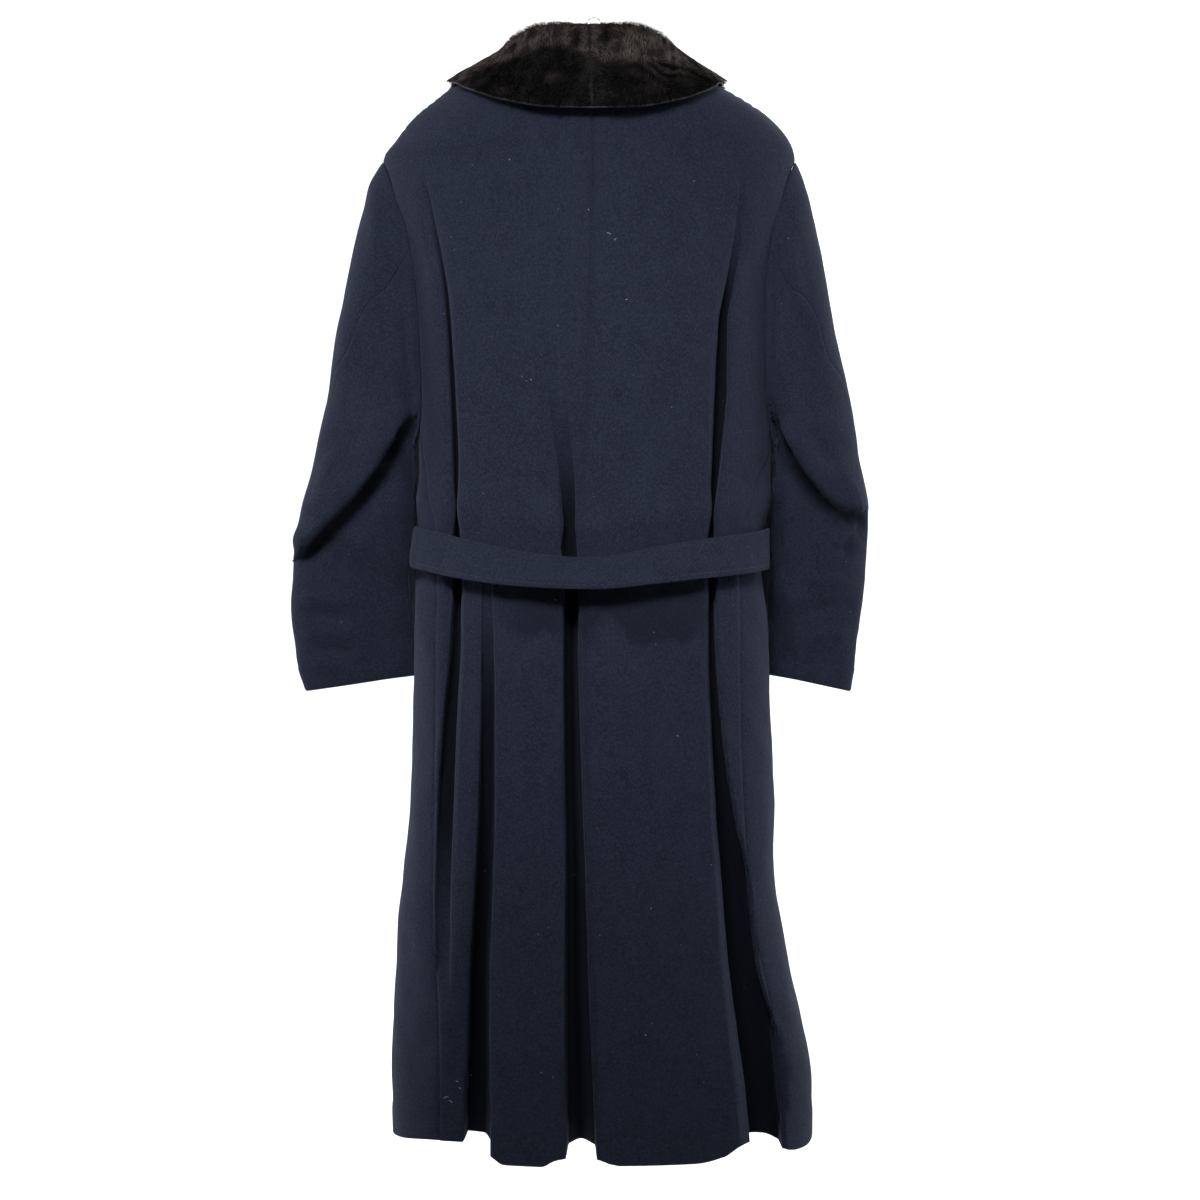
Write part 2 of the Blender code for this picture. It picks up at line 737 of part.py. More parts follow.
def collar_line(station, step):
    """A point of the layer between fur and under-collar; the station is signed, left positive."""
    rows = [(i, *row) for i, row in enumerate(COLLAR)]
    turn = np.where(station < 0, 1.0, -1.0)
    value = [curve(rows, column, np.abs(station)) for column in range(1, 8)]
    seam_turn, seam_height, rise, reach, edge_turn, edge_height, off = value
    seam_angle = 90 + turn * seam_turn
    behind = np.clip(np.cos(np.radians(seam_turn)), 0, 1) ** 2
    seam_height = seam_height - dip(seam_height) * behind
    seam_normal = body_normal(seam_angle, seam_height)
    up = np.zeros(seam_normal.shape)
    up[..., 2] = 1
    front = ease((np.abs(station) - 4) / 3)[..., None]
    up = unit(up * (1 - front) + seam_normal * front)
    seam = body(seam_angle, seam_height, False) + up * (COLLAR_LIFT + FRONT_LIFT * front)
    edge_angle = 90 + turn * edge_turn
    edge_normal = body_normal(edge_angle, edge_height)
    edge = body(edge_angle, edge_height, False) + edge_normal * (off + UNDER_COLLAR)[..., None]
    away = edge - seam
    away = unit(away - up * (away * up).sum(-1, keepdims=True))
    # the roll is an arc that starts upright and ends where it can leave straight for the edge
    radius = ROLL_RADIUS
    out, high = ((edge - seam) * away).sum(-1), ((edge - seam) * up).sum(-1)
    to_edge = np.hypot(out - reach - radius, high - rise + radius)
    slant = np.arctan2(high - rise + radius, out - reach - radius)
    leave = slant + np.arccos(np.clip(radius / to_edge, -1, 1))
    profile = [(0 * out, 0 * out)]
    for share in (0, 0.3, 0.62, 1):
        at = np.pi + (leave - np.pi) * share
        profile.append((reach + radius + radius * np.cos(at), rise - radius + radius * np.sin(at)))
    last_out, last_high = profile[-1]
    for share, swell in ((0.33, FALL_SWELL), (0.7, FALL_SWELL), (1, 0)):
        profile.append((last_out + (out - last_out) * share + swell * np.cos(leave),
                        last_high + (high - last_high) * share + swell * np.sin(leave)))
    points = [seam + away * a[..., None] + up * b[..., None] for a, b in profile]
    return bezier_chain(points, step)


def bezier_chain(points, step):
    """A smooth line through points, read at step, where 0 is the first point and 1 the last."""
    last = len(points) - 1
    at = np.clip(np.asarray(step, float) * last, 0, last - 1e-9)
    index = np.floor(at).astype(int)
    t = (at - index)[..., None]
    stack = np.stack(np.broadcast_arrays(*points), 0)

    def pick(i):
        i = np.clip(i, 0, last)
        return np.take_along_axis(stack, np.broadcast_to(i[None, ..., None], (1,) + stack.shape[1:]), 0)[0]

    before, here, there, beyond = pick(index - 1), pick(index), pick(index + 1), pick(index + 2)
    return 0.5 * (2 * here + (there - before) * t + (2 * before - 5 * here + 4 * there - beyond) * t ** 2
                  + (3 * here - before - 3 * there + beyond) * t ** 3)


def collar_normal(station, step):
    """Towards the fur: into the neck on the stand, up and out on the fall."""
    along = collar_line(station + 0.06, step) - collar_line(station - 0.06, step)
    down = collar_line(station, np.minimum(step + 0.015, 1)) - collar_line(station, np.maximum(step - 0.015, 0))
    return unit(np.cross(along, down))


def make_collar():
    """The fur of the collar and the cloth under it, from one front end round to the other."""
    last = len(COLLAR) - 1
    stations = np.linspace(-last, last, 27)
    steps = np.linspace(0, 1, 8)
    station, step = np.meshgrid(stations, steps, indexing="ij")
    middle = collar_line(station, step)
    normal = collar_normal(station, step)
    ends = ease((last - np.abs(station)) / 1.2)
    fur = FUR_STAND + (FUR_FALL - FUR_STAND) * ease((step - 0.2) / 0.3)
    fur = 3 + (fur - 3) * ends
    fur = np.where(step > 0.9, fur * 0.55, fur)
    near = middle + normal * SEAM_GAP / 2
    top = middle + normal * (SEAM_GAP / 2 + fur[..., None])
    add_wall("fur_collar", top, near, FUR, 0.8)
    under = middle - normal * SEAM_GAP / 2
    beneath = under - normal * UNDER_COLLAR
    add_wall("under_collar", under, beneath, WOOL, 0.9)


def make_belt():
    """The tie belt, once round the body with one plain end lapped over the other at the front."""
    turns = np.linspace(270 - BELT_LAP / 2, 270 + 360 + BELT_LAP / 2, 48)
    row = np.linspace(-0.5, 0.5, 2)
    angle, across = np.meshgrid(turns, row, indexing="ij")
    at = np.mod(angle, 360)
    lean = np.radians(curve(BELT, 2, at))
    height = curve(BELT, 1, at) + across * BELT_WIDTH * np.cos(lean)
    base = body(at, height, folded=False)
    around = body(at + 0.5, height, False) - body(at - 0.5, height, False)
    out = unit(np.cross(around, (0, 0, 1)))
    stand_off = BELT_EASE + (0.5 - across) * BELT_WIDTH * np.sin(lean)
    over = ease((angle - 590) / 20) * (BELT_THICK + BELT_EASE)
    inner = base + out * (stand_off + over)[..., None]
    outer = inner + out * BELT_THICK
    return add_wall("belt", outer, inner, WOOL, 0.9)


def make_chain():
    """The small metal hanging loop that stands inside the neck and shows in the dip of the collar."""
    def face(station, step):
        """A place on the inside of the stand, just off its fur."""
        off = SEAM_GAP / 2 + FUR_STAND + CHAIN_WIRE + CHAIN_OFF
        return collar_line(station, step) + collar_normal(station, step) * off

    steps = np.array([0.05, 0.09, 0.13])
    left_leg = face(np.full(3, 0.11), steps)
    right_leg = face(np.full(3, -0.42), steps)[::-1]
    start, end = left_leg[-1], right_leg[0]
    turns = np.radians(np.linspace(0, 180, 11))[1:-1, None]
    arc = (start + end) / 2 + (start - end) / 2 * np.cos(turns)
    arc[:, 2] += (CHAIN_TOP - start[2]) * np.sin(turns[:, 0])
    route = np.concatenate([left_leg, arc, right_leg]) * MM
    shape = bpy.data.curves.new("hanging_chain", "CURVE")
    shape.dimensions = "3D"
    shape.bevel_depth = CHAIN_WIRE * MM
    shape.bevel_resolution = 2
    shape.use_fill_caps = True
    spline = shape.splines.new("POLY")
    spline.points.add(len(route) - 1)
    for point, place in zip(spline.points, route):
        point.co = (*place, 1)
    piece = bpy.data.objects.new("hanging_chain", shape)
    shape.materials.append(finish("hanging_chain", STEEL, 0.3, 1.0))
    COLLECTION.objects.link(piece)


def clear_scene():
    for thing in list(bpy.data.objects):
        bpy.data.objects.remove(thing, do_unlink=True)


clear_scene()
COLLECTION = bpy.data.collections.new("long_coat")
bpy.context.scene.collection.children.link(COLLECTION)
for is_left in (True, False):
    make_back(is_left)
    make_front(is_left)
    for is_top in (True, False):
        make_sleeve(is_left, is_top)
make_collar()
make_belt()
make_chain()
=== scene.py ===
"""Long belted wool coat with a fur collar, seen from behind: cloth, fur, belt, small metal and stage.

The cloth follows the same tables as the solid parts, read far more finely, with creases, seams, nap
and fur added. Lengths in the tables are millimetres; the scene is in metres with +Z up, the coat's
back towards +Y and the wearer's left towards +X.
"""
import math

import bpy
import numpy as np
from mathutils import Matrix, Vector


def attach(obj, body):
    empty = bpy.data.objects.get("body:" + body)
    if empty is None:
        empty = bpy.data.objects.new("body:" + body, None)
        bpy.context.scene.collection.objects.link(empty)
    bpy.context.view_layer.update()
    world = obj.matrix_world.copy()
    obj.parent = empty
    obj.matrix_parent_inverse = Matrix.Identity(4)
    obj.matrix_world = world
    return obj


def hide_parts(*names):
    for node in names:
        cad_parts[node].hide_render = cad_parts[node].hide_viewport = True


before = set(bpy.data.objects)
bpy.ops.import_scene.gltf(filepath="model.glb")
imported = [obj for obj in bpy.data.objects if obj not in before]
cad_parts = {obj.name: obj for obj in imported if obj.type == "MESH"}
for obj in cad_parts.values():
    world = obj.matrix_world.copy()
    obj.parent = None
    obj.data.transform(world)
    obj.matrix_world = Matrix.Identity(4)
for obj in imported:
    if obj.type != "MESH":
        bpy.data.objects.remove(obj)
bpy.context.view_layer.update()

bl_info = {
    "name": "Long Coat With Fur Collar",
    "version": (1, 0, 0),
    "blender": (4, 5, 0),
    "location": "View3D > Sidebar > Coat",
    "description": "Builds a long belted wool coat with a fur collar, and the stage it is seen on",
    "category": "Object",
}

MM = 0.001
SEED = 27

# ---- driving sizes, millimetres ----
HEM = -1148            # height of the hem
UNDERARM = -376        # height of the armhole's lowest point
SHOULDER_TIP = -79     # height of the armhole's highest point
NECK_TOP = 28          # height of the collar seam at the side of the neck
NECK_DIP = 18          # how far the collar seam drops at the centre back
LAPEL_FOOT = -215      # height where the fronts cross and the neck opening ends
FRONT_LAP = 45         # each front reaches this far past the centre front
UNDER_STEP = 5.0       # the under front lies this far inside the upper one
LAP_FADE = 60          # width over which the under front sinks below the upper one
COLLAR_LIFT = 1.4      # height of the collar's foot above the cut edge of the neck
FRONT_LIFT = 0.5       # and this much more along the fronts
BELT_WIDTH = 44
BELT_THICK = 4.0
BELT_EASE = 1.0        # space between the belt and the crest of the folds
BELT_LEVEL = -535      # height of the belt at the sides
HUG = 22               # how far the inner front of each sleeve leans in towards the body
HUG_TURN = 222         # and the place round the sleeve where it leans in most, in degrees
HUG_CLEAR = 5.0        # space kept between the sleeve and the body's smooth form
HUG_BELT = 7.0         # and this much more beside the belt
CHAIN_TOP = 59.8       # height of the hanging loop
HEAD_PROUD = 3.2       # the sleeve's head stands this far proud of the shoulder beside it
SLIT_WALL = 2.2        # width of the steep wall at each side of a fold's dark slit
SLIT_SHARE = 0.72      # share of a fold's depth that lies in the slit
HOLE_SINK = 0.8        # how deep the two edges of an armhole's seam sink

# ---- the body, a row for each height ----
# height, centre x, half width, back depth, front depth, squareness (2 is an ellipse)
BODY = (
    (-1148, -14, 229, 150, 142, 2.3), (-1080, -13, 230, 148, 140, 2.3), (-1020, -9, 224, 145, 138, 2.3),
    (-960, -3, 215, 142, 136, 2.3), (-900, 1, 208, 139, 134, 2.35), (-860, 1, 203, 137, 132, 2.4),
    (-780, -3, 199, 133, 130, 2.4), (-680, -2, 195, 128, 127, 2.5), (-600, -1.5, 194, 123, 123, 2.5),
    (-530, 0, 190, 117, 118, 2.5), (-470, -3, 190.5, 118, 120, 2.5), (-410, -6, 192.5, 122, 126, 2.45),
    (-340, -4.5, 194, 126, 130, 2.4), (-250, -2, 201, 129, 128, 2.35), (-170, 0, 212, 126, 120, 2.3),
    (-120, 1, 224, 121, 112, 2.2), (-79, 1, 226, 116, 103, 2.1), (-57, -3, 215, 112, 97, 2.1),
    (-33, -2, 195, 105, 90, 2.05), (-15, 0, 172, 98, 83, 2.0), (0, 3, 148, 91, 76, 2.0),
    (14, 2, 115, 81, 69, 2.0), (28, 0, 80, 70, 62, 2.0),
)

# ---- armholes: height, angle of the back seam, angle of the front seam, degrees from the side ----
ARMHOLE = (
    (-376, 10, -10), (-371, 13, -5), (-350, 17, 6), (-305, 20, 18), (-260, 23, 25), (-210, 24.5, 27),
    (-160, 24.5, 27), (-125, 21.5, 24), (-100, 16, 18), (-86, 9, 10), (-79, 0, 0),
)

# ---- side seams below the arm, which run a little onto the back: height, left x, right x ----
SIDE_SEAM = (
    (-1148, 157, -206), (-1060, 158, -198), (-990, 159, -192), (-930, 164, -180), (-860, 166, -169),
    (-740, 165, -162), (-620, 164, -160), (-490, 165, -162), (-440, 172, -175), (-398, 181, -194.5),
    (-376, 184, -196),
)

# ---- how far the hem rises above its lowest line, round the back half: x, rise ----
HEM_RISE = (
    (-245, 0), (-215, 4), (-185, 18), (-161, 19), (-140, 9), (-110, 4), (-30, 4), (-10, 10), (9, 13),
    (35, 9), (50, 2), (88, 2), (100, 9), (112, 18), (160, 20), (205, 12), (240, 0),
)
HEM_FADE = 60          # height above the hem at which the rise has faded out

# ---- centre back seam: height, x ----
CENTRE_SEAM = (
    (-1148, -11), (-950, -2), (-840, 1), (-720, 4), (-600, 7), (-489, 9), (-435, 9), (-370, 4), (-250, 1),
    (-70, -3), (28, -3),
)

# ---- neckline of the fronts: height, distance from the middle ----
NECKLINE = (
    (-215, 38), (-150, 53), (-100, 63), (-57, 71), (-33, 75), (-14, 77), (2, 79), (15, 78.5), (28, 74),
)

# ---- folds, a row for each height ----
# height, x of the deepest line, half width towards the centre, half width away from it, depth
BACK_FOLDS = {
    "left_blade": (
        (-1000, 148, 10, 12, 0), (-850, 147, 10, 14, 8), (-760, 145, 8, 16, 20), (-696, 143, 8, 17, 27),
        (-600, 139, 7, 20, 31), (-489, 140, 6, 18, 28), (-410, 141, 6, 18, 24), (-334, 144, 6, 18, 20),
        (-243, 150, 7, 20, 15), (-175, 161, 9, 22, 7), (-100, 177, 12, 25, 0),
    ),
    "left_flute": (
        (-1148, 112, 12, 66, 62), (-1080, 112, 11, 58, 60), (-978, 112, 10, 38, 54),
        (-873, 108, 9, 24, 42), (-770, 104, 8, 20, 28), (-665, 103, 7, 16, 14), (-590, 104, 7, 14, 6),
        (-530, 106, 8, 14, 0),
    ),
    "centre": (
        (-1148, 9, 20, 18, 74), (-950, 14, 16, 11, 62), (-840, 15, 14, 10, 54), (-760, 17, 12, 9, 48),
        (-600, 19, 11, 9, 38), (-557, 19, 11, 9, 32), (-489, 20, 10, 9, 18), (-435, 22, 9, 10, 9),
        (-370, 30, 10, 13, 3), (-320, 35, 12, 15, 0),
    ),
    "right_blade": (
        (-1148, -173, 16, 29, 44), (-1080, -167, 15, 28, 50), (-1023, -159, 14, 30, 52),
        (-938, -148, 12, 27, 52), (-850, -141, 10, 22, 48), (-780, -135, 9, 18, 43),
        (-700, -131, 8, 12, 36), (-600, -128, 7, 9, 28), (-489, -128, 7, 9, 26), (-420, -131, 7, 12, 27),
        (-345, -134, 8, 14, 25), (-265, -138, 8, 14, 17), (-220, -147, 10, 16, 9), (-165, -156, 12, 18, 4),
        (-110, -160, 14, 20, 0),
    ),
}
FRONT_FOLDS = {
    "left_front": (
        (-1148, 118, 22, 34, 46), (-900, 112, 18, 26, 34), (-700, 108, 14, 20, 20), (-560, 106, 12, 18, 8),
        (-470, 106, 12, 18, 0),
    ),
    "right_front": (
        (-1148, -124, 26, 32, 40), (-900, -120, 20, 26, 30), (-700, -112, 14, 20, 18),
        (-560, -108, 12, 18, 7), (-470, -108, 12, 18, 0),
    ),
}

# ---- sleeves, a row for each section from the armhole to the cuff ----
# outer x, outer height, inner x, inner height, middle y, half depth
SLEEVE_LEFT = (
    (223, -79, 187, -376, 0, 58), (245, -129, 191, -392, 1, 60), (262, -190, 192, -410, 1, 60),
    (274, -250, 194, -432, 0, 58), (287, -325, 196, -458, -6, 55), (301, -388, 198, -486, -15, 51),
    (320.5, -458, 198.5, -515, -26, 47), (331, -515, 197, -550, -36, 44), (334, -570, 194, -592, -45, 41),
    (331, -622, 191, -625, -53, 38), (321, -663, 190, -643, -58, 35),
)
SLEEVE_RIGHT = (
    (-224, -79, -198, -376, 0, 58), (-240, -129, -201, -392, 1, 60), (-256, -190, -202, -410, 1, 60),
    (-268, -262, -202.5, -432, 0, 58), (-283, -327, -202.5, -458, -6, 55),
    (-296, -397, -201.5, -486, -15, 51), (-310, -462, -200, -515, -26, 47),
    (-308, -520, -198.5, -550, -36, 44), (-303, -572, -196.5, -592, -45, 41),
    (-298, -622, -194, -625, -53, 38), (-293, -663, -193, -641, -58, 35),
)
SLEEVE_SQUARE = 2.3
CAP_BLEND = 3.0        # sections over which the armhole's own line fades into the sleeve's ovals

# ---- sleeve seams: section, angle of the back seam, angle of the front seam, degrees ----
# 0 is the outer edge, 90 the back, 180 the inner edge, 270 the front
SLEEVE_SEAM = (
    (0, 72, 288), (1, 72, 278), (2, 62, 252), (3, 56, 226), (4, 22, 200), (5, -18, 176), (6, -36, 160),
    (8, -42, 156), (10, -42, 156),
)

# ---- the slanting elbow fold: sections past the line x, height, across the back of the sleeve ----
ELBOW_LEFT = ((192, -366), (206, -384), (222, -415), (244, -442), (274, -471), (290, -487), (316, -506))
ELBOW_RIGHT = ((-198, -366), (-202, -390), (-216, -412), (-230, -430), (-248, -452), (-270, -470),
               (-305, -462))
ELBOW_DROP = 10        # the forearm's cloth lies this far under the upper sleeve's
ELBOW_SOFT = 12        # width over which it drops

# ---- the collar, a row for each station from the centre back to the front end ----
# seam: angle from the centre back and height; roll: rise above the seam and reach outwards;
# edge: angle from the centre back, height, distance off the cloth
COLLAR = (
    (0, 28, 35, 4, 0, -49, 12), (22, 28, 33, 3, 12, -47, 11), (45, 28, 22, 1, 25, -37, 7),
    (67, 28, 14, 1, 42, -21, 3.5), (84, 28, 12, 1, 67, -3, 2.5), (103, 27, 12, 1, 93, 2, 2.5),
    (128, 19, 12, 2, 116, -12, 2.5), (149, 0, 14, 3, 134, -42, 2.5), (158, -38, 12, 2, 146, -80, 2.5),
    (163.5, -85, 11, 1, 154, -124, 2.5), (168.5, -150, 11, 0, 160, -176, 2.5),
    (171.5, -203, 11, 0, 164, -212, 2.5),
)
ROLL_RADIUS = 5.5      # the cloth turns over the roll of the collar at this radius
FALL_SWELL = 0.5       # the fall bellies out by this much

# ---- the belt: angle round the body from the wearer's left, middle height, lean, clearance ----
BELT = (
    (0, -500, 3), (30, -507, 10), (60, -521, 24), (75, -528, 34), (90, -532, 40), (105, -524, 29),
    (120, -517.5, 21), (150, -509, 10), (180, -503, 3), (225, -508, 2), (270, -512, 0), (315, -508, 2),
    (360, -500, 3),
)

# ---- dark slit of each back fold: height, reach towards the centre and away from it ----
SLITS = {
    "left_blade": (
        (-1000, 4, 15), (-760, 3, 16), (-700, 3, 14), (-602, 3, 9), (-540, 3, 6), (-410, 3, 5.5),
        (-243, 3, 4.5), (-100, 3, 4),
    ),
    "left_flute": (
        (-1148, 10, 22), (-1000, 9, 17), (-850, 7, 14), (-690, 5, 12), (-530, 4, 8),
    ),
    "centre": (
        (-1148, 18, 16), (-950, 14, 11), (-840, 12, 10), (-600, 9, 9), (-489, 8, 10), (-435, 8, 10),
        (-320, 8, 10),
    ),
    "right_blade": (
        (-1148, 4, 32), (-1030, 3, 40), (-944, 3, 30), (-854, 2.5, 28), (-804, 2.5, 22), (-722, 2.5, 13),
        (-641, 2.5, 8), (-557, 2.5, 6), (-488, 2.5, 6), (-419, 2.5, 9), (-340, 2.5, 13), (-240, 3, 9),
        (-165, 3, 6),
    ),
}

# ---- creases on the back: start x and height, end x and height, width, depth (+ is a ridge) ----
BACK_CREASES = (
    (-47, -620, -92, -770, 9, 1.6), (-30, -640, -60, -800, 14, -1.3), (-62, -585, -98, -690, 8, -1.0),
    (46, -622, 78, -752, 10, 1.5), (26, -600, 48, -700, 9, -1.2), (64, -600, 80, -690, 7, 1.1),
    (-95, -560, -112, -640, 8, 1.2), (-50, -470, -84, -400, 12, 1.0), (-96, -480, -110, -410, 9, -0.9),
    (58, -478, 88, -400, 12, 0.9), (100, -490, 116, -420, 8, -0.9), (20, -490, 40, -430, 9, 0.9),
    (-110, -262, 150, -258, 10, -0.5), (150, -120, 96, -210, 16, 0.9), (-146, -120, -94, -216, 16, 0.9),
    (168, -200, 158, -300, 9, 1.2), (-160, -210, -150, -320, 9, 1.2), (-40, -900, -58, -1110, 18, 1.2),
    (-88, -860, -100, -1060, 16, -1.2), (60, -860, 66, -1080, 18, 1.0), (188, -760, 176, -960, 10, 1.6),
    (198, -900, 186, -1080, 12, -1.4), (172, -985, 196, -1040, 8, 1.2), (-184, -700, -188, -860, 9, 1.3),
    (-206, -900, -214, -1060, 10, 1.4), (-196, -1000, -226, -1040, 8, -1.2),
    (150, -690, 172, -770, 8, 1.3), (178, -560, 166, -660, 8, 1.0),
)
# ---- the same on the fronts, which the photo doesn't show ----
FRONT_CREASES = (
    (-60, -600, -84, -760, 12, 1.3), (60, -590, 84, -740, 11, 1.3), (-150, -560, -136, -680, 9, 1.1),
    (148, -560, 136, -690, 9, 1.1), (-90, -480, -70, -400, 12, 1.0), (84, -480, 66, -400, 12, 1.0),
    (-30, -860, -44, -1080, 18, 1.1), (44, -850, 56, -1070, 18, 1.1), (150, -140, 110, -250, 14, 0.9),
    (-150, -140, -108, -250, 14, 0.9), (180, -700, 176, -900, 12, 1.3), (-186, -700, -180, -900, 12, 1.3),
)

# ---- overlaps at the elbow and forearm seen from behind: path of x and height, width, reach, depth ----
SLEEVE_LAPS = {
    True: (
        (((190, -352), (208, -380), (224, -411), (247, -440), (279, -471), (306, -497), (326, -516)),
         2.4, 30, 8.5),
        (((292, -486), (262, -500), (238, -508)), 4.0, 20, -2.0),
        (((262, -372), (300, -392), (322, -420)), 8.0, 26, 1.6),
    ),
    False: (
        (((-318, -452), (-296, -464), (-277, -462), (-256, -449), (-236, -428), (-220, -406),
          (-206, -373), (-198, -338)), 2.4, 28, 8.0),
        (((-300, -478), (-286, -489), (-272, -506)), 3.0, 16, 3.0),
        (((-206, -425), (-210, -470), (-211, -520)), 3.5, 22, -2.2),
        (((-214, -545), (-221, -590), (-229, -632)), 3.5, 20, -2.8),
    ),
}
# ---- soft creases of the sleeves' backs, laid out as for the body ----
SLEEVE_CREASES = {
    True: (
        (233, -105, 232, -196, 8, 1.8), (212, -150, 206, -240, 7, -1.6), (204, -190, 192, -330, 5, -2.6),
        (258, -230, 276, -330, 14, 1.4), (240, -250, 262, -372, 10, -1.4), (212, -300, 232, -378, 9, 1.8),
        (198, -352, 240, -372, 8, 1.6), (284, -404, 300, -460, 9, 1.6), (322, -556, 266, -562, 7.5, 2.8),
        (320, -572, 262, -581, 6.5, -2.9), (318, -594, 264, -599, 7.5, 2.6),
        (316, -612, 262, -620, 6.5, -2.5), (312, -632, 266, -635, 8, 2.0),
        (238, -520, 232, -640, 11, -1.4), (216, -430, 214, -520, 9, -1.8),
    ),
    False: (
        (-214, -168, -226, -252, 7, 2.2), (-203, -170, -212, -250, 6, -1.8),
        (-196, -190, -192, -320, 5, -2.4), (-240, -200, -262, -320, 14, 1.4),
        (-228, -260, -256, -360, 10, -1.4), (-204, -300, -226, -380, 9, 1.8),
        (-262, -390, -290, -452, 9, 1.8), (-252, -360, -288, -392, 12, 1.2),
        (-276, -476, -240, -470, 6, 2.2), (-288, -540, -238, -536, 8, 2.2),
        (-290, -566, -240, -571, 7, -2.2), (-286, -600, -244, -598, 8, 2.0),
        (-246, -560, -254, -640, 10, 1.2),
    ),
}

# ---- the line across the fur where the fall bends over, with painted light above it and painted shade below it: x and height ----
# ---- patches of painted highlight and painted shade on the fur: x, height, width, height of the patch, gain ----
FUR_CREASE = ((-150, -14), (-128, -4), (-106, 8), (-60, 7), (-11, 1), (0, 10), (32, 24), (70, 18),
              (106, 9), (128, -4), (150, -14))
FUR_LIGHT_AND_SHADE_PATCHES = (
    (0, 42, 5, 14, 0.45), (-3, 20, 4, 12, 0.40), (1, 2, 3.5, 8, 0.28), (12, 36, 3.5, 16, -0.5),
    (-15, 36, 3.5, 14, -0.5), (40, 46, 22, 7, 0.18), (-48, 44, 24, 7, 0.22), (-92, 22, 26, 6, 0.16),
    (92, 20, 22, 7, 0.16), (36, -10, 7, 5, 0.5), (90, -22, 6, 4, 0.28), (4, -12, 4, 5, 0.22),
    (-66, -20, 8, 6, 0.18), (126, -10, 12, 7, 0.2), (60, -2, 14, 3, 0.12),
)

# ---- lint on the back: x, height, length and turn of each pale fibre, millimetres and degrees ----
LINT = (
    (-20, -178, 7, 20), (-27, -184, 5, -50), (1, -153, 3, 70), (-39, -247, 4, -20), (150, -1082, 9, -15),
    (146, -1086, 7, 40), (139, -1065, 4, 10), (136, -1072, 4, 60), (127, -1069, 3, -40),
    (-92, -702, 3, 15), (61, -330, 3, 80), (-64, -880, 3, -70), (36, -560, 2.5, 30), (-110, -120, 3, 5),
    (84, -98, 2.5, 65), (-58, -1010, 3, 25),
)


# ---------------------------------------------------------------- shape of the coat

def curve(table, column, at):
    """A smooth line through one column of a table whose first column is the position."""
    rows = sorted(table)
    xs = np.array([row[0] for row in rows], float)
    ys = np.array([row[column] for row in rows], float)
    at = np.clip(np.asarray(at, float), xs[0], xs[-1])
    rise = np.diff(ys) / np.diff(xs)
    slope = np.zeros(len(xs))
    for i in range(1, len(xs) - 1):
        if rise[i - 1] * rise[i] > 0:
            slope[i] = 2 * rise[i - 1] * rise[i] / (rise[i - 1] + rise[i])
    slope[0], slope[-1] = rise[0], rise[-1]
    i = np.clip(np.searchsorted(xs, at) - 1, 0, len(xs) - 2)
    step = xs[i + 1] - xs[i]
    t = (at - xs[i]) / step
    return (ys[i] * (1 + 2 * t) * (1 - t) ** 2 + ys[i + 1] * t * t * (3 - 2 * t)
            + step * slope[i] * t * (1 - t) ** 2 - step * slope[i + 1] * t * t * (1 - t))


def ease(t):
    """0 to 1 with a soft start and end."""
    t = np.clip(t, 0, 1)
    return t * t * (3 - 2 * t)


def power(value, exponent):
    return np.sign(value) * np.abs(value) ** exponent


def unit(vectors):
    return vectors / np.maximum(np.linalg.norm(vectors, axis=-1, keepdims=True), 1e-9)


def fold_slit(name, rows, x, height):
    """1 inside the narrow dark slit of a fold and 0 outside it, with steep walls."""
    if name not in SLITS:
        return 0.0
    middle = curve(rows, 1, height)
    off = (x - middle) * np.sign(middle)
    near, far = curve(SLITS[name], 1, height), curve(SLITS[name], 2, height)
    return ease((off + near) / SLIT_WALL) * ease((far - off) / SLIT_WALL)


def fold_depth(folds, x, height):
    """How far all the folds of a table draw the cloth in at x and height."""
    total = np.zeros(np.broadcast(x, height).shape)
    for name, rows in folds.items():
        inside = (height >= rows[0][0]) & (height <= rows[-1][0])
        middle = curve(rows, 1, height)
        off = (x - middle) * np.sign(middle)
        half = np.where(off < 0, curve(rows, 2, height), curve(rows, 3, height))
        t = np.clip(np.abs(off) / half, 0, 1)
        slope = 0.5 + 0.5 * np.cos(np.pi * t)
        share = SLIT_SHARE if name in SLITS else 0.0
        shape = (1 - share) * slope + 1.15 * share * fold_slit(name, rows, x, height)
        total += np.where(inside, curve(rows, 4, height) * shape, 0)
    return total


def fold_shade(folds, x, height):
    """How deep in the shade of a fold a place lies, from 0 to 1; the wool's colour is darkened by it as
    painted shade.
    """
    total = np.zeros(np.broadcast(x, height).shape)
    for name, rows in folds.items():
        inside = (height >= rows[0][0]) & (height <= rows[-1][0])
        deep = ease(curve(rows, 4, height) / 16)
        total = np.maximum(total, np.where(inside, deep * fold_slit(name, rows, x, height), 0))
    return total


def body(angle, height, folded=True):
    """A point of the body's outer skin; the angle is in degrees from the wearer's left."""
    angle = np.radians(angle)
    height = np.asarray(height, float)
    half = curve(BODY, 2, height)
    bend = 2 / curve(BODY, 5, height)
    x = curve(BODY, 1, height) + half * power(np.cos(angle), bend)
    behind = np.sin(angle) >= 0
    depth = np.where(behind, curve(BODY, 3, height), curve(BODY, 4, height))
    y = depth * power(np.sin(angle), bend)
    if folded:
        y = np.where(behind, y - fold_depth(BACK_FOLDS, x, height), y + fold_depth(FRONT_FOLDS, x, height))
    return np.stack(np.broadcast_arrays(x, y, height), -1)


def body_normal(angle, height):
    """The outward direction of the body's skin, read across a small step each way."""
    turn, rise = 0.6, 1.5
    across = body(angle + turn, height) - body(angle - turn, height)
    up = body(angle, np.minimum(height + rise, NECK_TOP)) - body(angle, np.maximum(height - rise, HEM))
    return unit(np.cross(across, up))


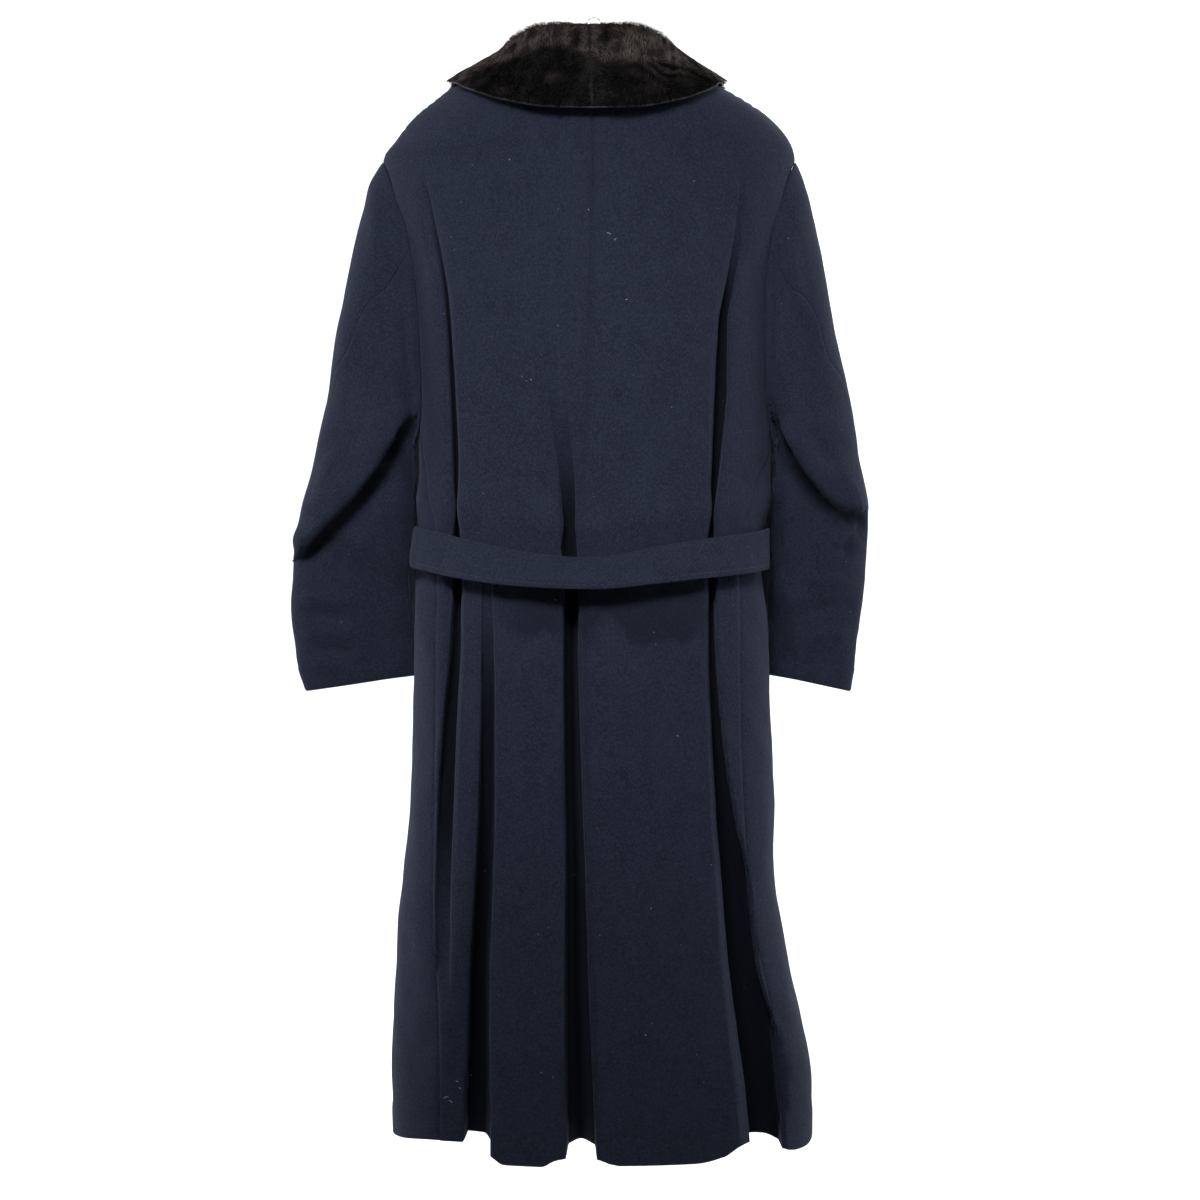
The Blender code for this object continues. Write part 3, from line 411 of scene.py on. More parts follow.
def angle_of(x, height):
    """The angle on the back half at which the unfolded skin reaches x, and its mirror on the front."""
    half = curve(BODY, 2, height)
    share = np.clip((x - curve(BODY, 1, height)) / half, -1, 1)
    return np.degrees(np.arccos(power(share, curve(BODY, 5, height) / 2)))


def side_edge(height, left, back):
    """Angle of a panel's outer edge: side seam below the arm, armhole above it, then the shoulder."""
    height = np.asarray(height, float)
    start = 0 if left else 180
    turn = 1 if left else -1
    seam = angle_of(curve(SIDE_SEAM, 1 if left else 2, height), height)
    hole = start + turn * curve(ARMHOLE, 1 if back else 2, height) * (1 if back else -1)
    edge = np.where(height < UNDERARM, seam, hole)
    return np.where(height > SHOULDER_TIP, start, edge)


def seam_normal(left, phi):
    """The offset shared by body and sleeve along the armhole, so that their walls are mitred."""
    height, angle = armhole(left, phi)
    of_body = body_normal(angle, height)
    of_sleeve = sleeve_normal(left, np.full(np.shape(phi), 0.25), phi)
    mitre = unit(of_body + of_sleeve)
    return mitre / np.maximum((mitre * of_body).sum(-1, keepdims=True), 0.5)


def armhole(left, phi):
    """Height and body angle of the armhole's seam at phi degrees round it from the shoulder tip."""
    middle = (SHOULDER_TIP + UNDERARM) / 2
    reach = (SHOULDER_TIP - UNDERARM) / 2
    phi = np.asarray(phi, float)
    height = middle + reach * np.cos(np.radians(phi))
    back = np.sin(np.radians(phi)) >= 0
    off = np.where(back, curve(ARMHOLE, 1, height), -curve(ARMHOLE, 2, height))
    return height, (off if left else 180 - off)


def armhole_phi(height, back):
    """The phi at which the armhole's seam passes a height, on its back or its front half."""
    middle = (SHOULDER_TIP + UNDERARM) / 2
    reach = (SHOULDER_TIP - UNDERARM) / 2
    phi = np.degrees(np.arccos(np.clip((np.asarray(height, float) - middle) / reach, -1, 1)))
    return phi if back else 360 - phi


def oval(left, section, phi):
    """A point of a sleeve's plain oval section."""
    rows = [(i, *row) for i, row in enumerate(SLEEVE_LEFT if left else SLEEVE_RIGHT)]
    ox, oz, ix, iz, y, deep = (curve(rows, column, section) for column in range(1, 7))
    phi = np.radians(phi)
    bend = 2 / SLEEVE_SQUARE
    along = power(np.cos(phi), bend)
    x = (ox + ix) / 2 + (ox - ix) / 2 * along
    z = (oz + iz) / 2 + (oz - iz) / 2 * along
    return np.stack(np.broadcast_arrays(x, y + deep * power(np.sin(phi), bend), z), -1)


def line_side(line, x, z):
    """Signed distance from a bent line in the front view: positive on its lower inner side."""
    best = np.full(np.shape(x), 1e9)
    sign = np.ones(np.shape(x))
    for (ax, az), (bx, bz) in zip(line[:-1], line[1:]):
        dx, dz = bx - ax, bz - az
        t = np.clip(((x - ax) * dx + (z - az) * dz) / (dx * dx + dz * dz), 0, 1)
        away = np.hypot(x - ax - t * dx, z - az - t * dz)
        turn = dx * (z - az) - dz * (x - ax)
        sign = np.where(away < best, np.sign(turn), sign)
        best = np.minimum(best, away)
    return best * sign * (-1 if line[-1][0] > 0 else 1)


def hug_body(left, point, section, phi):
    """Brings the inner front of a hanging sleeve in against the body, and no nearer than its clearance."""
    side = 1 if left else -1
    x, y, z = point[..., 0], point[..., 1], point[..., 2]
    bend = curve(BODY, 5, z)
    deep = np.where(y >= 0, curve(BODY, 3, z), curve(BODY, 4, z))
    wide = curve(BODY, 2, z) * np.clip(1 - (np.abs(y) / deep) ** bend, 0, 1) ** (1 / bend)
    clear = HUG_CLEAR + HUG_BELT * np.exp(-((z - BELT_LEVEL) / BELT_WIDTH) ** 2)
    limit = side * curve(BODY, 1, z) + wide + clear
    push = HUG * np.clip(np.cos(np.radians(phi - HUG_TURN)), 0, 1) ** 3 * ease((section - 0.8) / 2)
    push = push * (1 - 0.5 * ease((section - 7) / 3))
    return side * np.maximum(side * x - push, np.minimum(side * x, limit))


def sleeve(left, section, phi):
    """A point of a sleeve's outer skin at a section number and phi degrees round it."""
    section = np.asarray(section, float)
    point = oval(left, section, phi)
    height, angle = armhole(left, phi)
    start = body(angle, height)
    fade = 1 - ease(section / CAP_BLEND)
    point = point + (start - oval(left, np.zeros_like(section), phi)) * fade[..., None]
    line = ELBOW_LEFT if left else ELBOW_RIGHT
    under = ease(0.5 + line_side(line, point[..., 0], point[..., 2]) / ELBOW_SOFT)
    behind = np.clip(np.sin(np.radians(phi)), 0, 1) ** 0.5 * ease(section / 1.5)
    drop = np.zeros_like(point)
    drop[..., 1] = -ELBOW_DROP * under * behind
    point = point + drop
    point[..., 0] = hug_body(left, point, section, phi)
    return point


def sleeve_normal(left, section, phi):
    turn, step = 4.0, 0.12
    across = sleeve(left, section, phi + turn) - sleeve(left, section, phi - turn)
    last = len(SLEEVE_LEFT) - 1
    down = (sleeve(left, np.minimum(section + step, last), phi)
            - sleeve(left, np.maximum(section - step, 0), phi))
    normal = unit(np.cross(across, down))
    return -normal if left else normal


def line_bump(u, v, crease, stretch=1.0):
    """Height of one soft crease at (u, v): a ridge or trough along a line, fading at its ends."""
    u0, v0, u1, v1, width, depth = crease
    du, dv = u1 - u0, (v1 - v0)
    length = np.hypot(du, dv * stretch)
    along = ((u - u0) * du + (v - v0) * dv * stretch * stretch) / (length * length)
    off = ((u - u0) * dv - (v - v0) * du) * stretch / length
    end = ease((along + 0.15) / 0.35) * ease((1.15 - along) / 0.35)
    return depth * np.exp(-(off / width) ** 2) * end


def lap_bump(x, z, lap):
    """One fold lying over the next: high on one side of a path, sunk on the other, with painted shade on the
    sunk side.
    """
    path, width, reach, depth = lap
    path = np.array(path, float)
    near, signed, share = np.full(np.shape(x), 1e9), np.zeros(np.shape(x)), np.zeros(np.shape(x))
    count = len(path) - 1
    for k, ((x0, z0), (x1, z1)) in enumerate(zip(path[:-1], path[1:])):
        dx, dz = x1 - x0, z1 - z0
        length = math.hypot(dx, dz)
        t = ((x - x0) * dx + (z - z0) * dz) / length ** 2
        held = np.clip(t, 0, 1)
        far = np.hypot(x - x0 - held * dx, z - z0 - held * dz)
        off = ((z - z0) * dx - (x - x0) * dz) / length
        closer = far < near
        near = np.where(closer, far, near)
        signed = np.where(closer, np.sign(off) * far, signed)
        share = np.where(closer, (k + held) / count, share)
    ends = ease(share / 0.2) * ease((1 - share) / 0.2 + 0.15)
    uneven = 1 + 0.3 * wave_noise(x, z, SEED + 51, 34)
    # painted shade: the low side of each lap is darkened in the cloth's colour
    low = np.sign(depth) * signed + 3 * width
    shade = min(abs(depth) / 8, 1) * np.exp(-(low / (3 * width)) ** 2) * ends
    return depth * uneven * np.tanh(signed / width) * np.exp(-(near / reach) ** 2) * ends, shade


def ripple(x, z, seed, waves):
    """A gentle uneven swell: a few crossing waves with lengths from a short table."""
    spin = np.random.default_rng(seed)
    total = np.zeros(np.broadcast(x, z).shape)
    for length, lean, depth in waves:
        for _ in range(3):
            turn = math.radians(lean + spin.uniform(-28, 28))
            size = length * spin.uniform(0.75, 1.35)
            shift = spin.uniform(0, 2 * math.pi)
            along = x * math.cos(turn) + z * math.sin(turn)
            total += depth * np.sin(along * 2 * math.pi / size + shift) / 3
    return total


def cloth_relief(angle, height, points):
    """How far the real cloth stands off the smooth form: swell, creases, pull of the belt, edges."""
    x = points[..., 0]
    around = np.radians(angle) * 190
    behind = np.sin(np.radians(angle)) > 0
    total = ripple(around, height, SEED, ((260, 10, 1.3), (120, 20, 0.8), (46, 30, 0.35)))
    for table, mask in ((BACK_CREASES, behind), (FRONT_CREASES, ~behind)):
        here = sum(line_bump(x, height, crease) for crease in table)
        total += np.where(mask, here, 0)
    belt_line = curve(BELT, 1, np.mod(angle, 360))
    above, below = height - belt_line - 30, belt_line - 26 - height
    gather = 0.5 + 0.5 * np.sin(around / 11.0 + 2.1 * np.sin(around / 37.0))
    total += 3.2 * np.exp(-((above - 22) / 20) ** 2) * (above > -14)
    total += (0.6 - 1.8 * gather) * np.exp(-(above / 16) ** 2)
    total += (0.4 - 2.2 * gather) * np.exp(-(below / 26) ** 2)
    total = total * ease((height - HEM + 12) / 40) * (1 - 0.6 * ease((height + 60) / 50))
    return total - 2.2 * np.exp(-((height - belt_line) / 24) ** 2)


def grid_normal(grid):
    """Smooth unit normals of a grid of points, from its own neighbours."""
    return unit(np.cross(np.gradient(grid, axis=1), np.gradient(grid, axis=0)))


def edge_distance(grid, last=False):
    """Distance of each point of a grid along its row from the first or the last column."""
    step = np.linalg.norm(np.diff(grid, axis=1), axis=-1)
    run = np.concatenate([np.zeros((len(grid), 1)), np.cumsum(step, axis=1)], axis=1)
    return run[:, -1:] - run if last else run


def seam_roll(grid, normal, first, last, rows=None, depth=0.9, width=4.0):
    """Rolls a panel's seamed edges down into the seam, with a faint welt just beside it."""
    drop = np.zeros(grid.shape[:2])
    share = np.ones(len(grid)) if rows is None else rows.astype(float)
    for wanted, is_last in ((first, False), (last, True)):
        if wanted:
            off = edge_distance(grid, is_last)
            side = depth * np.exp(-(off / width * 1.6) ** 2) - 0.12 * np.exp(-((off - 6) / 3.5) ** 2)
            drop += side * (share[:, None] if is_last else 1)
    return grid - normal * drop[..., None]


def smooth_mesh(name, points, faces, tone_and_shade=None):
    """A mesh object in metres from millimetre points and triangles or quads given as an array."""
    points = np.ascontiguousarray(points, np.float32) * MM
    faces = np.ascontiguousarray(faces, np.int32)
    mesh = bpy.data.meshes.new(name)
    mesh.vertices.add(len(points))
    mesh.vertices.foreach_set("co", points.ravel())
    mesh.loops.add(faces.size)
    mesh.loops.foreach_set("vertex_index", faces.ravel())
    mesh.polygons.add(len(faces))
    mesh.polygons.foreach_set("loop_start", np.arange(0, faces.size, faces.shape[1], dtype=np.int32))
    mesh.update(calc_edges=True)
    mesh.shade_smooth()
    if tone_and_shade is not None:
        shade = mesh.attributes.new("tone_and_shade", "FLOAT", "POINT")
        shade.data.foreach_set("value", np.ascontiguousarray(tone_and_shade, np.float32))
    piece = bpy.data.objects.new(name, mesh)
    bpy.context.scene.collection.objects.link(piece)
    return piece


def shell_faces(rows, columns, flip):
    """Quads of the two skins of a thin shell and of the rim that joins them."""
    at = np.arange(rows * columns).reshape(rows, columns)
    far = rows * columns
    skin = np.stack([at[:-1, :-1], at[:-1, 1:], at[1:, 1:], at[1:, :-1]], -1).reshape(-1, 4)
    back = skin[:, ::-1] + far
    rim = np.concatenate([at[:, 0], at[-1, 1:], at[-2::-1, -1], at[0, -2::-1]])
    a, b = rim[:-1], rim[1:]
    side = np.stack([a, b, b + far, a + far], -1)
    faces = np.concatenate([skin, back, side])
    return faces[:, ::-1] if flip else faces


def shell(name, outer, thick, outward, tone_and_shade=None):
    """A thin cloth shell whose outer skin is the grid; outward is a rough outward direction grid."""
    normal = grid_normal(outer)
    facing = np.sign((normal * outward).sum(-1).mean())
    normal = normal * facing
    inner = outer - normal * thick
    points = np.concatenate([outer.reshape(-1, 3), inner.reshape(-1, 3)])
    faces = shell_faces(*outer.shape[:2], False)
    if tone_and_shade is not None:
        tone_and_shade = np.concatenate([tone_and_shade.ravel()] * 2)
    piece = smooth_mesh(name, points, faces, tone_and_shade)
    first = faces[0]
    turn = np.cross(points[first[1]] - points[first[0]], points[first[2]] - points[first[0]])
    if np.dot(turn, normal.reshape(-1, 3)[first[0]]) < 0:
        piece.data.flip_normals()
    return piece


def finish_piece(piece, material, nodes=()):
    """Gives a piece its material, the body it rides on and the solid parts it stands for."""
    piece.data.materials.append(material)
    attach(piece, "root")
    if nodes:
        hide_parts(*nodes)
    return piece


# ---- rows and columns of the body's panels ----
def spaced(stops, counts):
    """Numbers through the stops with the given count of steps between each pair."""
    parts = [np.linspace(a, b, n, endpoint=False) for a, b, n in zip(stops[:-1], stops[1:], counts)]
    return np.concatenate(parts + [np.array([stops[-1]], float)])


def body_rows():
    low = spaced((HEM, HEM + 12, -1085, UNDERARM), (4, 9, 118))
    arm = spaced((UNDERARM, -371, -348, -95, SHOULDER_TIP), (3, 5, 34, 5))
    top = spaced((SHOULDER_TIP, NECK_TOP), (18,))
    return np.concatenate([low[:-1], arm[:-1], top])


def fold_tracks(folds, names, height):
    """x of the lips, the walls and the bottom of each named fold, from the centre outwards."""
    tracks = []
    for name in names:
        rows = folds[name]
        middle = curve(rows, 1, height)
        side = np.sign(middle)
        near, far = side * curve(rows, 2, height), side * curve(rows, 3, height)
        tracks += [middle - near, middle - near / 2, middle, middle + far / 2, middle + far]
    return tracks


def panel_angles(back, edges, names, rows, steps):
    """A grid of angles from the centre edge to the outer edge, with columns along the folds."""
    folds = BACK_FOLDS if back else FRONT_FOLDS
    tracks = [edges[0]]
    for x in fold_tracks(folds, names, rows):
        angle = angle_of(x, rows)
        tracks.append(angle if back else 360 - angle)
    tracks.append(edges[1])
    towards = np.sign(edges[1] - edges[0])
    spacing = 0.9
    grid = [tracks[0]]
    for track in tracks[1:-1]:
        low = grid[-1] + towards * spacing
        track = np.where((track - low) * towards < 0, low, track)
        left_over = len(tracks) - 1 - len(grid)
        high = edges[1] - towards * spacing * left_over
        grid.append(np.where((track - high) * towards > 0, high, track))
    grid.append(edges[1])
    columns = [grid[0]]
    last = len(grid) - 2
    for k, (a, b) in enumerate(zip(grid[:-1], grid[1:])):
        parts = steps.get(k, 6)
        shares = np.arange(1, parts + 1) / parts
        if k == 0:
            shares = np.concatenate([[0.04, 0.09, 0.15], shares * 0.85 + 0.15]) if parts > 1 else shares
        if k == last:
            shares = np.concatenate([shares[:-1] * 0.97, [0.975, 0.985, 0.993, 1.0]])
        columns += [a + (b - a) * share for share in shares]
    return np.stack(columns, 1)


def settle(angles, heights):
    """Moves the rows of a panel up along the uneven hem and down towards the centre back neck."""
    x = body(angles, heights, False)[..., 0]
    behind = np.sin(np.radians(angles)) > 0
    rise = np.where(behind, curve(HEM_RISE, 1, x), 0) * ease((HEM + HEM_FADE - heights) / HEM_FADE)
    return heights + rise - np.where(behind, dip(heights) * np.sin(np.radians(angles)) ** 2, 0)


def dip(height):
    """How far a row near the neck sags towards the centre back."""
    return NECK_DIP * ease((height + 60) / (NECK_TOP + 60))


def front_edge(height, left):
    """Angle of a front's free edge: past the centre below, along the neckline above."""
    side = 1 if left else -1
    blend = ease((height - LAPEL_FOOT) / 40)
    x = side * (curve(NECKLINE, 1, height) * blend - FRONT_LAP * (1 - blend))
    return 360 - angle_of(x, height)


def hem_turn(points, normal, heights):
    """The folded-up hem makes the last 40 mm a little fuller and rounds its lower edge."""
    up = heights - HEM
    swell = 0.8 * ease((up + 2) / 8) * (1 - ease((up - 34) / 10))
    curl = 1.6 * np.exp(-(up / 3.0) ** 2)
    return points + normal * (swell - curl)[..., None]


def body_cloth(left, back):
    """The fine grid of one panel of the body, with its folds, creases and rolled seams."""
    rows = body_rows()
    outer_edge = side_edge(rows, left, back)
    if back:
        first_edge = angle_of(curve(CENTRE_SEAM, 1, rows), rows)
        names = ("centre", "left_flute", "left_blade") if left else ("right_blade",)
        steps = {0: 6, 5: 26, 10: 12, 15: 12} if left else {0: 44, 5: 16}
        for k in set(range(1, 15)) - {5, 10}:
            steps[k] = 9
        steps[8], steps[9] = 20, 12
    else:
        first_edge = front_edge(rows, left)
        outer_edge = outer_edge + 360 if left else outer_edge
        names = ("left_front",) if left else ("right_front",)
        steps = {0: 26, 5: 26}
    angles = panel_angles(back, (first_edge, outer_edge), names, rows, steps)
    heights = settle(angles, np.repeat(rows[:, None], angles.shape[1], 1))
    points = body(angles, heights)
    form = body(angles, heights, False) * (1, 1, 0)
    normal = grid_normal(points)
    normal = normal * np.sign((normal * form).sum(-1).mean())
    # the relief is even along the armhole, so that the sleeves meet it
    hole = ease(edge_distance(points, True) / 30)
    near = ease((heights - UNDERARM + 40) / 40) * ease((SHOULDER_TIP + 45 - heights) / 45)
    quiet = 1 - (1 - hole) * near
    # painted shade: how deep each place lies in a fold's slit, which later darkens the wool's colour
    shade = fold_shade(BACK_FOLDS, points[..., 0], heights) if back else np.zeros(heights.shape)
    relief = cloth_relief(angles, heights, points) * quiet * (1 - 0.85 * shade)
    if left and not back:
        lapped = 1 - ease((points[..., 0] - FRONT_LAP) / LAP_FADE)
        relief = relief - UNDER_STEP * lapped
    points = points + normal * relief[..., None]
    points = seam_roll(points, normal, back, True, (rows < UNDERARM) | (rows > SHOULDER_TIP))
    at_hole = (rows >= UNDERARM) & (rows <= SHOULDER_TIP)
    way = unit(seam_normal(left, armhole_phi(rows, back)))
    sink = HOLE_SINK * np.exp(-(edge_distance(points, True) / 2.6) ** 2) * at_hole[:, None]
    points = points - way[:, None] * sink[..., None]
    points = hem_turn(points, normal, heights)
    return points, form, shade


def sleeve_grid(left, top):
    """The fine grid of one half of a sleeve, with the folds at the elbow and along the forearm."""
    ring = np.linspace(0, 1, 96 if top else 110)
    ring = np.concatenate([[0, 0.006, 0.013, 0.021], ring[3:-3], [0.979, 0.987, 0.994, 1]])
    sections = spaced((0, 0.3, 9.6, 10), (6, 170, 8))
    back = curve(SLEEVE_SEAM, 1, sections)
    front = curve(SLEEVE_SEAM, 2, sections)
    low, high = (front - 360, back) if top else (back, front)
    phi = low[:, None] + (high - low)[:, None] * ring[None, :]
    section = np.repeat(sections[:, None], len(ring), 1)
    points = sleeve(left, section, phi)
    middle = sleeve(left, section, phi + 180)
    outward = points - middle
    normal = grid_normal(points)
    normal = normal * np.sign((normal * outward).sum(-1).mean())
    x, z = points[..., 0], points[..., 2]
    behind = ease((normal[..., 1] + 0.1) / 0.5)
    ahead = ease((-normal[..., 1] + 0.1) / 0.5)
    marks = sum(line_bump(x, z, crease) for crease in SLEEVE_CREASES[left])
    laps = [lap_bump(x, z, lap) for lap in SLEEVE_LAPS[left]]
    facing = ease((normal[..., 1] - 0.12) / 0.5)
    marks = marks + sum(bump for bump, _ in laps) * facing
    # painted shade under the laps, which darkens the sleeve's colour
    shade = np.clip(sum(dark for _, dark in laps), 0, 1) * facing
    # the hidden front of each sleeve creases like the back of the other one, only more softly
    other = sum(line_bump(-x, z, crease) for crease in SLEEVE_CREASES[not left])
    relief = marks * behind + 0.7 * other * ahead
    relief = relief + ripple(phi * 0.9, section * 58, SEED + 5 + left,
                             ((150, 60, 1.3), (70, 70, 0.9), (34, 40, 0.3)))
    relief = relief * ease(section / 0.7) * (1 - 0.5 * ease((section - 9) / 1))
    # the sleeve's head stands a little proud of the shoulder beside it
    side = 1 if left else -1
    outer_side = ease((side * normal[..., 0] - 0.3) / 0.5)
    relief = relief + HEAD_PROUD * np.exp(-((section - 0.45) / 0.55) ** 2) * outer_side
    hem = 0.7 * ease((section - 9.3) / 0.08) - 1.5 * np.exp(-((10 - section) / 0.035) ** 2)
    points = points + normal * (relief + hem)[..., None]
    points = seam_roll(points, normal, True, True, depth=0.35, width=2.6)
    way = unit(seam_normal(left, phi[0]))
    sink = HOLE_SINK * np.exp(-(section / 0.05) ** 2)
    return points - way[None] * sink[..., None], outward, shade


def collar_line(station, step):
    """A point of the layer between fur and under-collar; the station is signed, left positive."""
    rows = [(i, *row) for i, row in enumerate(COLLAR)]
    turn = np.where(station < 0, 1.0, -1.0)
    value = [curve(rows, column, np.abs(station)) for column in range(1, 8)]
    seam_turn, seam_height, rise, reach, edge_turn, edge_height, off = value
    seam_angle = 90 + turn * seam_turn
    behind = np.clip(np.cos(np.radians(seam_turn)), 0, 1) ** 2
    seam_height = seam_height - dip(seam_height) * behind
    seam_way = body_normal(seam_angle, seam_height)
    up = np.zeros(seam_way.shape)
    up[..., 2] = 1
    front = ease((np.abs(station) - 4) / 3)[..., None]
    up = unit(up * (1 - front) + seam_way * front)
    seam = body(seam_angle, seam_height, False) + up * (COLLAR_LIFT + FRONT_LIFT * front)
    edge_angle = 90 + turn * edge_turn
    edge_way = body_normal(edge_angle, edge_height)
    edge = body(edge_angle, edge_height, False) + edge_way * (off + 2.0)[..., None]
    away = edge - seam
    away = unit(away - up * (away * up).sum(-1, keepdims=True))
    radius = ROLL_RADIUS
    out, high = ((edge - seam) * away).sum(-1), ((edge - seam) * up).sum(-1)
    to_edge = np.hypot(out - reach - radius, high - rise + radius)
    slant = np.arctan2(high - rise + radius, out - reach - radius)
    leave = slant + np.arccos(np.clip(radius / to_edge, -1, 1))
    profile = [(0 * out, 0 * out)]
    for share in (0, 0.3, 0.62, 1):
        at = np.pi + (leave - np.pi) * share
        profile.append((reach + radius + radius * np.cos(at), rise - radius + radius * np.sin(at)))
    last_out, last_high = profile[-1]
    for share, swell in ((0.33, FALL_SWELL), (0.7, FALL_SWELL), (1, 0)):
        profile.append((last_out + (out - last_out) * share + swell * np.cos(leave),
                        last_high + (high - last_high) * share + swell * np.sin(leave)))
    points = [seam + away * a[..., None] + up * b[..., None] for a, b in profile]
    return bezier_chain(points, step)


def bezier_chain(points, step):
    """A smooth line through points, read at step, where 0 is the first point and 1 the last."""
    last = len(points) - 1
    at = np.clip(np.asarray(step, float) * last, 0, last - 1e-9)
    index = np.floor(at).astype(int)
    t = (at - index)[..., None]
    stack = np.stack(np.broadcast_arrays(*points), 0)

    def pick(i):
        i = np.clip(i, 0, last)
        return np.take_along_axis(stack, np.broadcast_to(i[None, ..., None], (1,) + stack.shape[1:]), 0)[0]

    before, here, there, beyond = pick(index - 1), pick(index), pick(index + 1), pick(index + 2)
    return 0.5 * (2 * here + (there - before) * t + (2 * before - 5 * here + 4 * there - beyond) * t ** 2
                  + (3 * here - before - 3 * there + beyond) * t ** 3)


def collar_normal(station, step):
    """Towards the fur: into the neck on the stand, up and out on the fall."""
    along = collar_line(station + 0.06, step) - collar_line(station - 0.06, step)
    below = collar_line(station, np.minimum(step + 0.015, 1))
    down = below - collar_line(station, np.maximum(step - 0.015, 0))
    return unit(np.cross(along, down))


# ---------------------------------------------------------------- materials
class Nodes:
    """Small helper that adds and joins shader nodes."""

    def __init__(self, name):
        self.material = bpy.data.materials.new(name)
        self.material.use_nodes = True
        self.tree = self.material.node_tree
        self.shader = self.tree.nodes["Principled BSDF"]
        self.place = self.add("ShaderNodeTexCoord").outputs["Object"]

    def add(self, kind, **values):
        node = self.tree.nodes.new(kind)
        for key, value in values.items():
            setattr(node, key, value)
        return node

    def join(self, source, target):
        self.tree.links.new(source, target)

    def noise(self, scale, detail=2.0, rough=0.5, place=None, stretch=None):
        if stretch:
            mapping = self.add("ShaderNodeMapping")
            mapping.inputs["Scale"].default_value = stretch
            self.join(place or self.place, mapping.inputs["Vector"])
            place = mapping.outputs["Vector"]
        node = self.add("ShaderNodeTexNoise")
        node.inputs["Scale"].default_value = scale
        node.inputs["Detail"].default_value = detail
        node.inputs["Roughness"].default_value = rough
        self.join(place or self.place, node.inputs["Vector"])
        return node.outputs["Fac"]

    def math(self, kind, a, b=0.0, clamp=False):
        node = self.add("ShaderNodeMath", operation=kind, use_clamp=clamp)
        for value, socket in ((a, node.inputs[0]), (b, node.inputs[1])):
            if isinstance(value, (int, float)):
                socket.default_value = value
            else:
                self.join(value, socket)
        return node.outputs[0]

    def span(self, value, low, high, to_low=0.0, to_high=1.0):
        node = self.add("ShaderNodeMapRange")
        for key, number in (("From Min", low), ("From Max", high), ("To Min", to_low), ("To Max", to_high)):
            node.inputs[key].default_value = number
        self.join(value, node.inputs["Value"])
        return node.outputs["Result"]

    def mix(self, share, a, b, blend="MIX"):
        node = self.add("ShaderNodeMix", data_type="RGBA", blend_type=blend)
        for value, socket in ((share, node.inputs[0]), (a, node.inputs[6]), (b, node.inputs[7])):
            if isinstance(value, (int, float)):
                socket.default_value = value
            elif isinstance(value, tuple):
                socket.default_value = (*value[:3], 1)
            else:
                self.join(value, socket)
        return node.outputs[2]

    def bump(self, height, strength, distance):
        node = self.add("ShaderNodeBump")
        node.inputs["Strength"].default_value = strength
        node.inputs["Distance"].default_value = distance
        self.join(height, node.inputs["Height"])
        return node.outputs["Normal"]


def scaled(colour, factor):
    return tuple(min(1.0, c * factor) for c in colour[:3])


def belt_shadow_patch(n, brushed):
    """Share of the painted shadow on the cloth just below the belt, with a ragged lower edge."""
    split = n.add("ShaderNodeSeparateXYZ")
    n.join(n.place, split.inputs[0])
    x, y, z = split.outputs
    ragged = n.noise(17.0, 2.0, 0.5, stretch=(1.0, 0.4, 0.5))
    edge = n.math("ADD", n.math("MULTIPLY", ragged, 0.15), n.math("MULTIPLY", brushed, 0.02))
    low = n.math("ADD", z, edge)
    below = n.span(low, -0.520, -0.505)
    top = n.span(z, -0.540, -0.552, 0.0, 1.0)
    sides = n.span(n.math("ABSOLUTE", n.math("ADD", x, 0.02)), 0.085, 0.135, 1.0, 0.0)
    rear = n.span(y, 0.0, 0.02)
    band = n.math("MULTIPLY", below, top, True)
    return n.math("MULTIPLY", band, n.math("MULTIPLY", sides, rear, True), True)


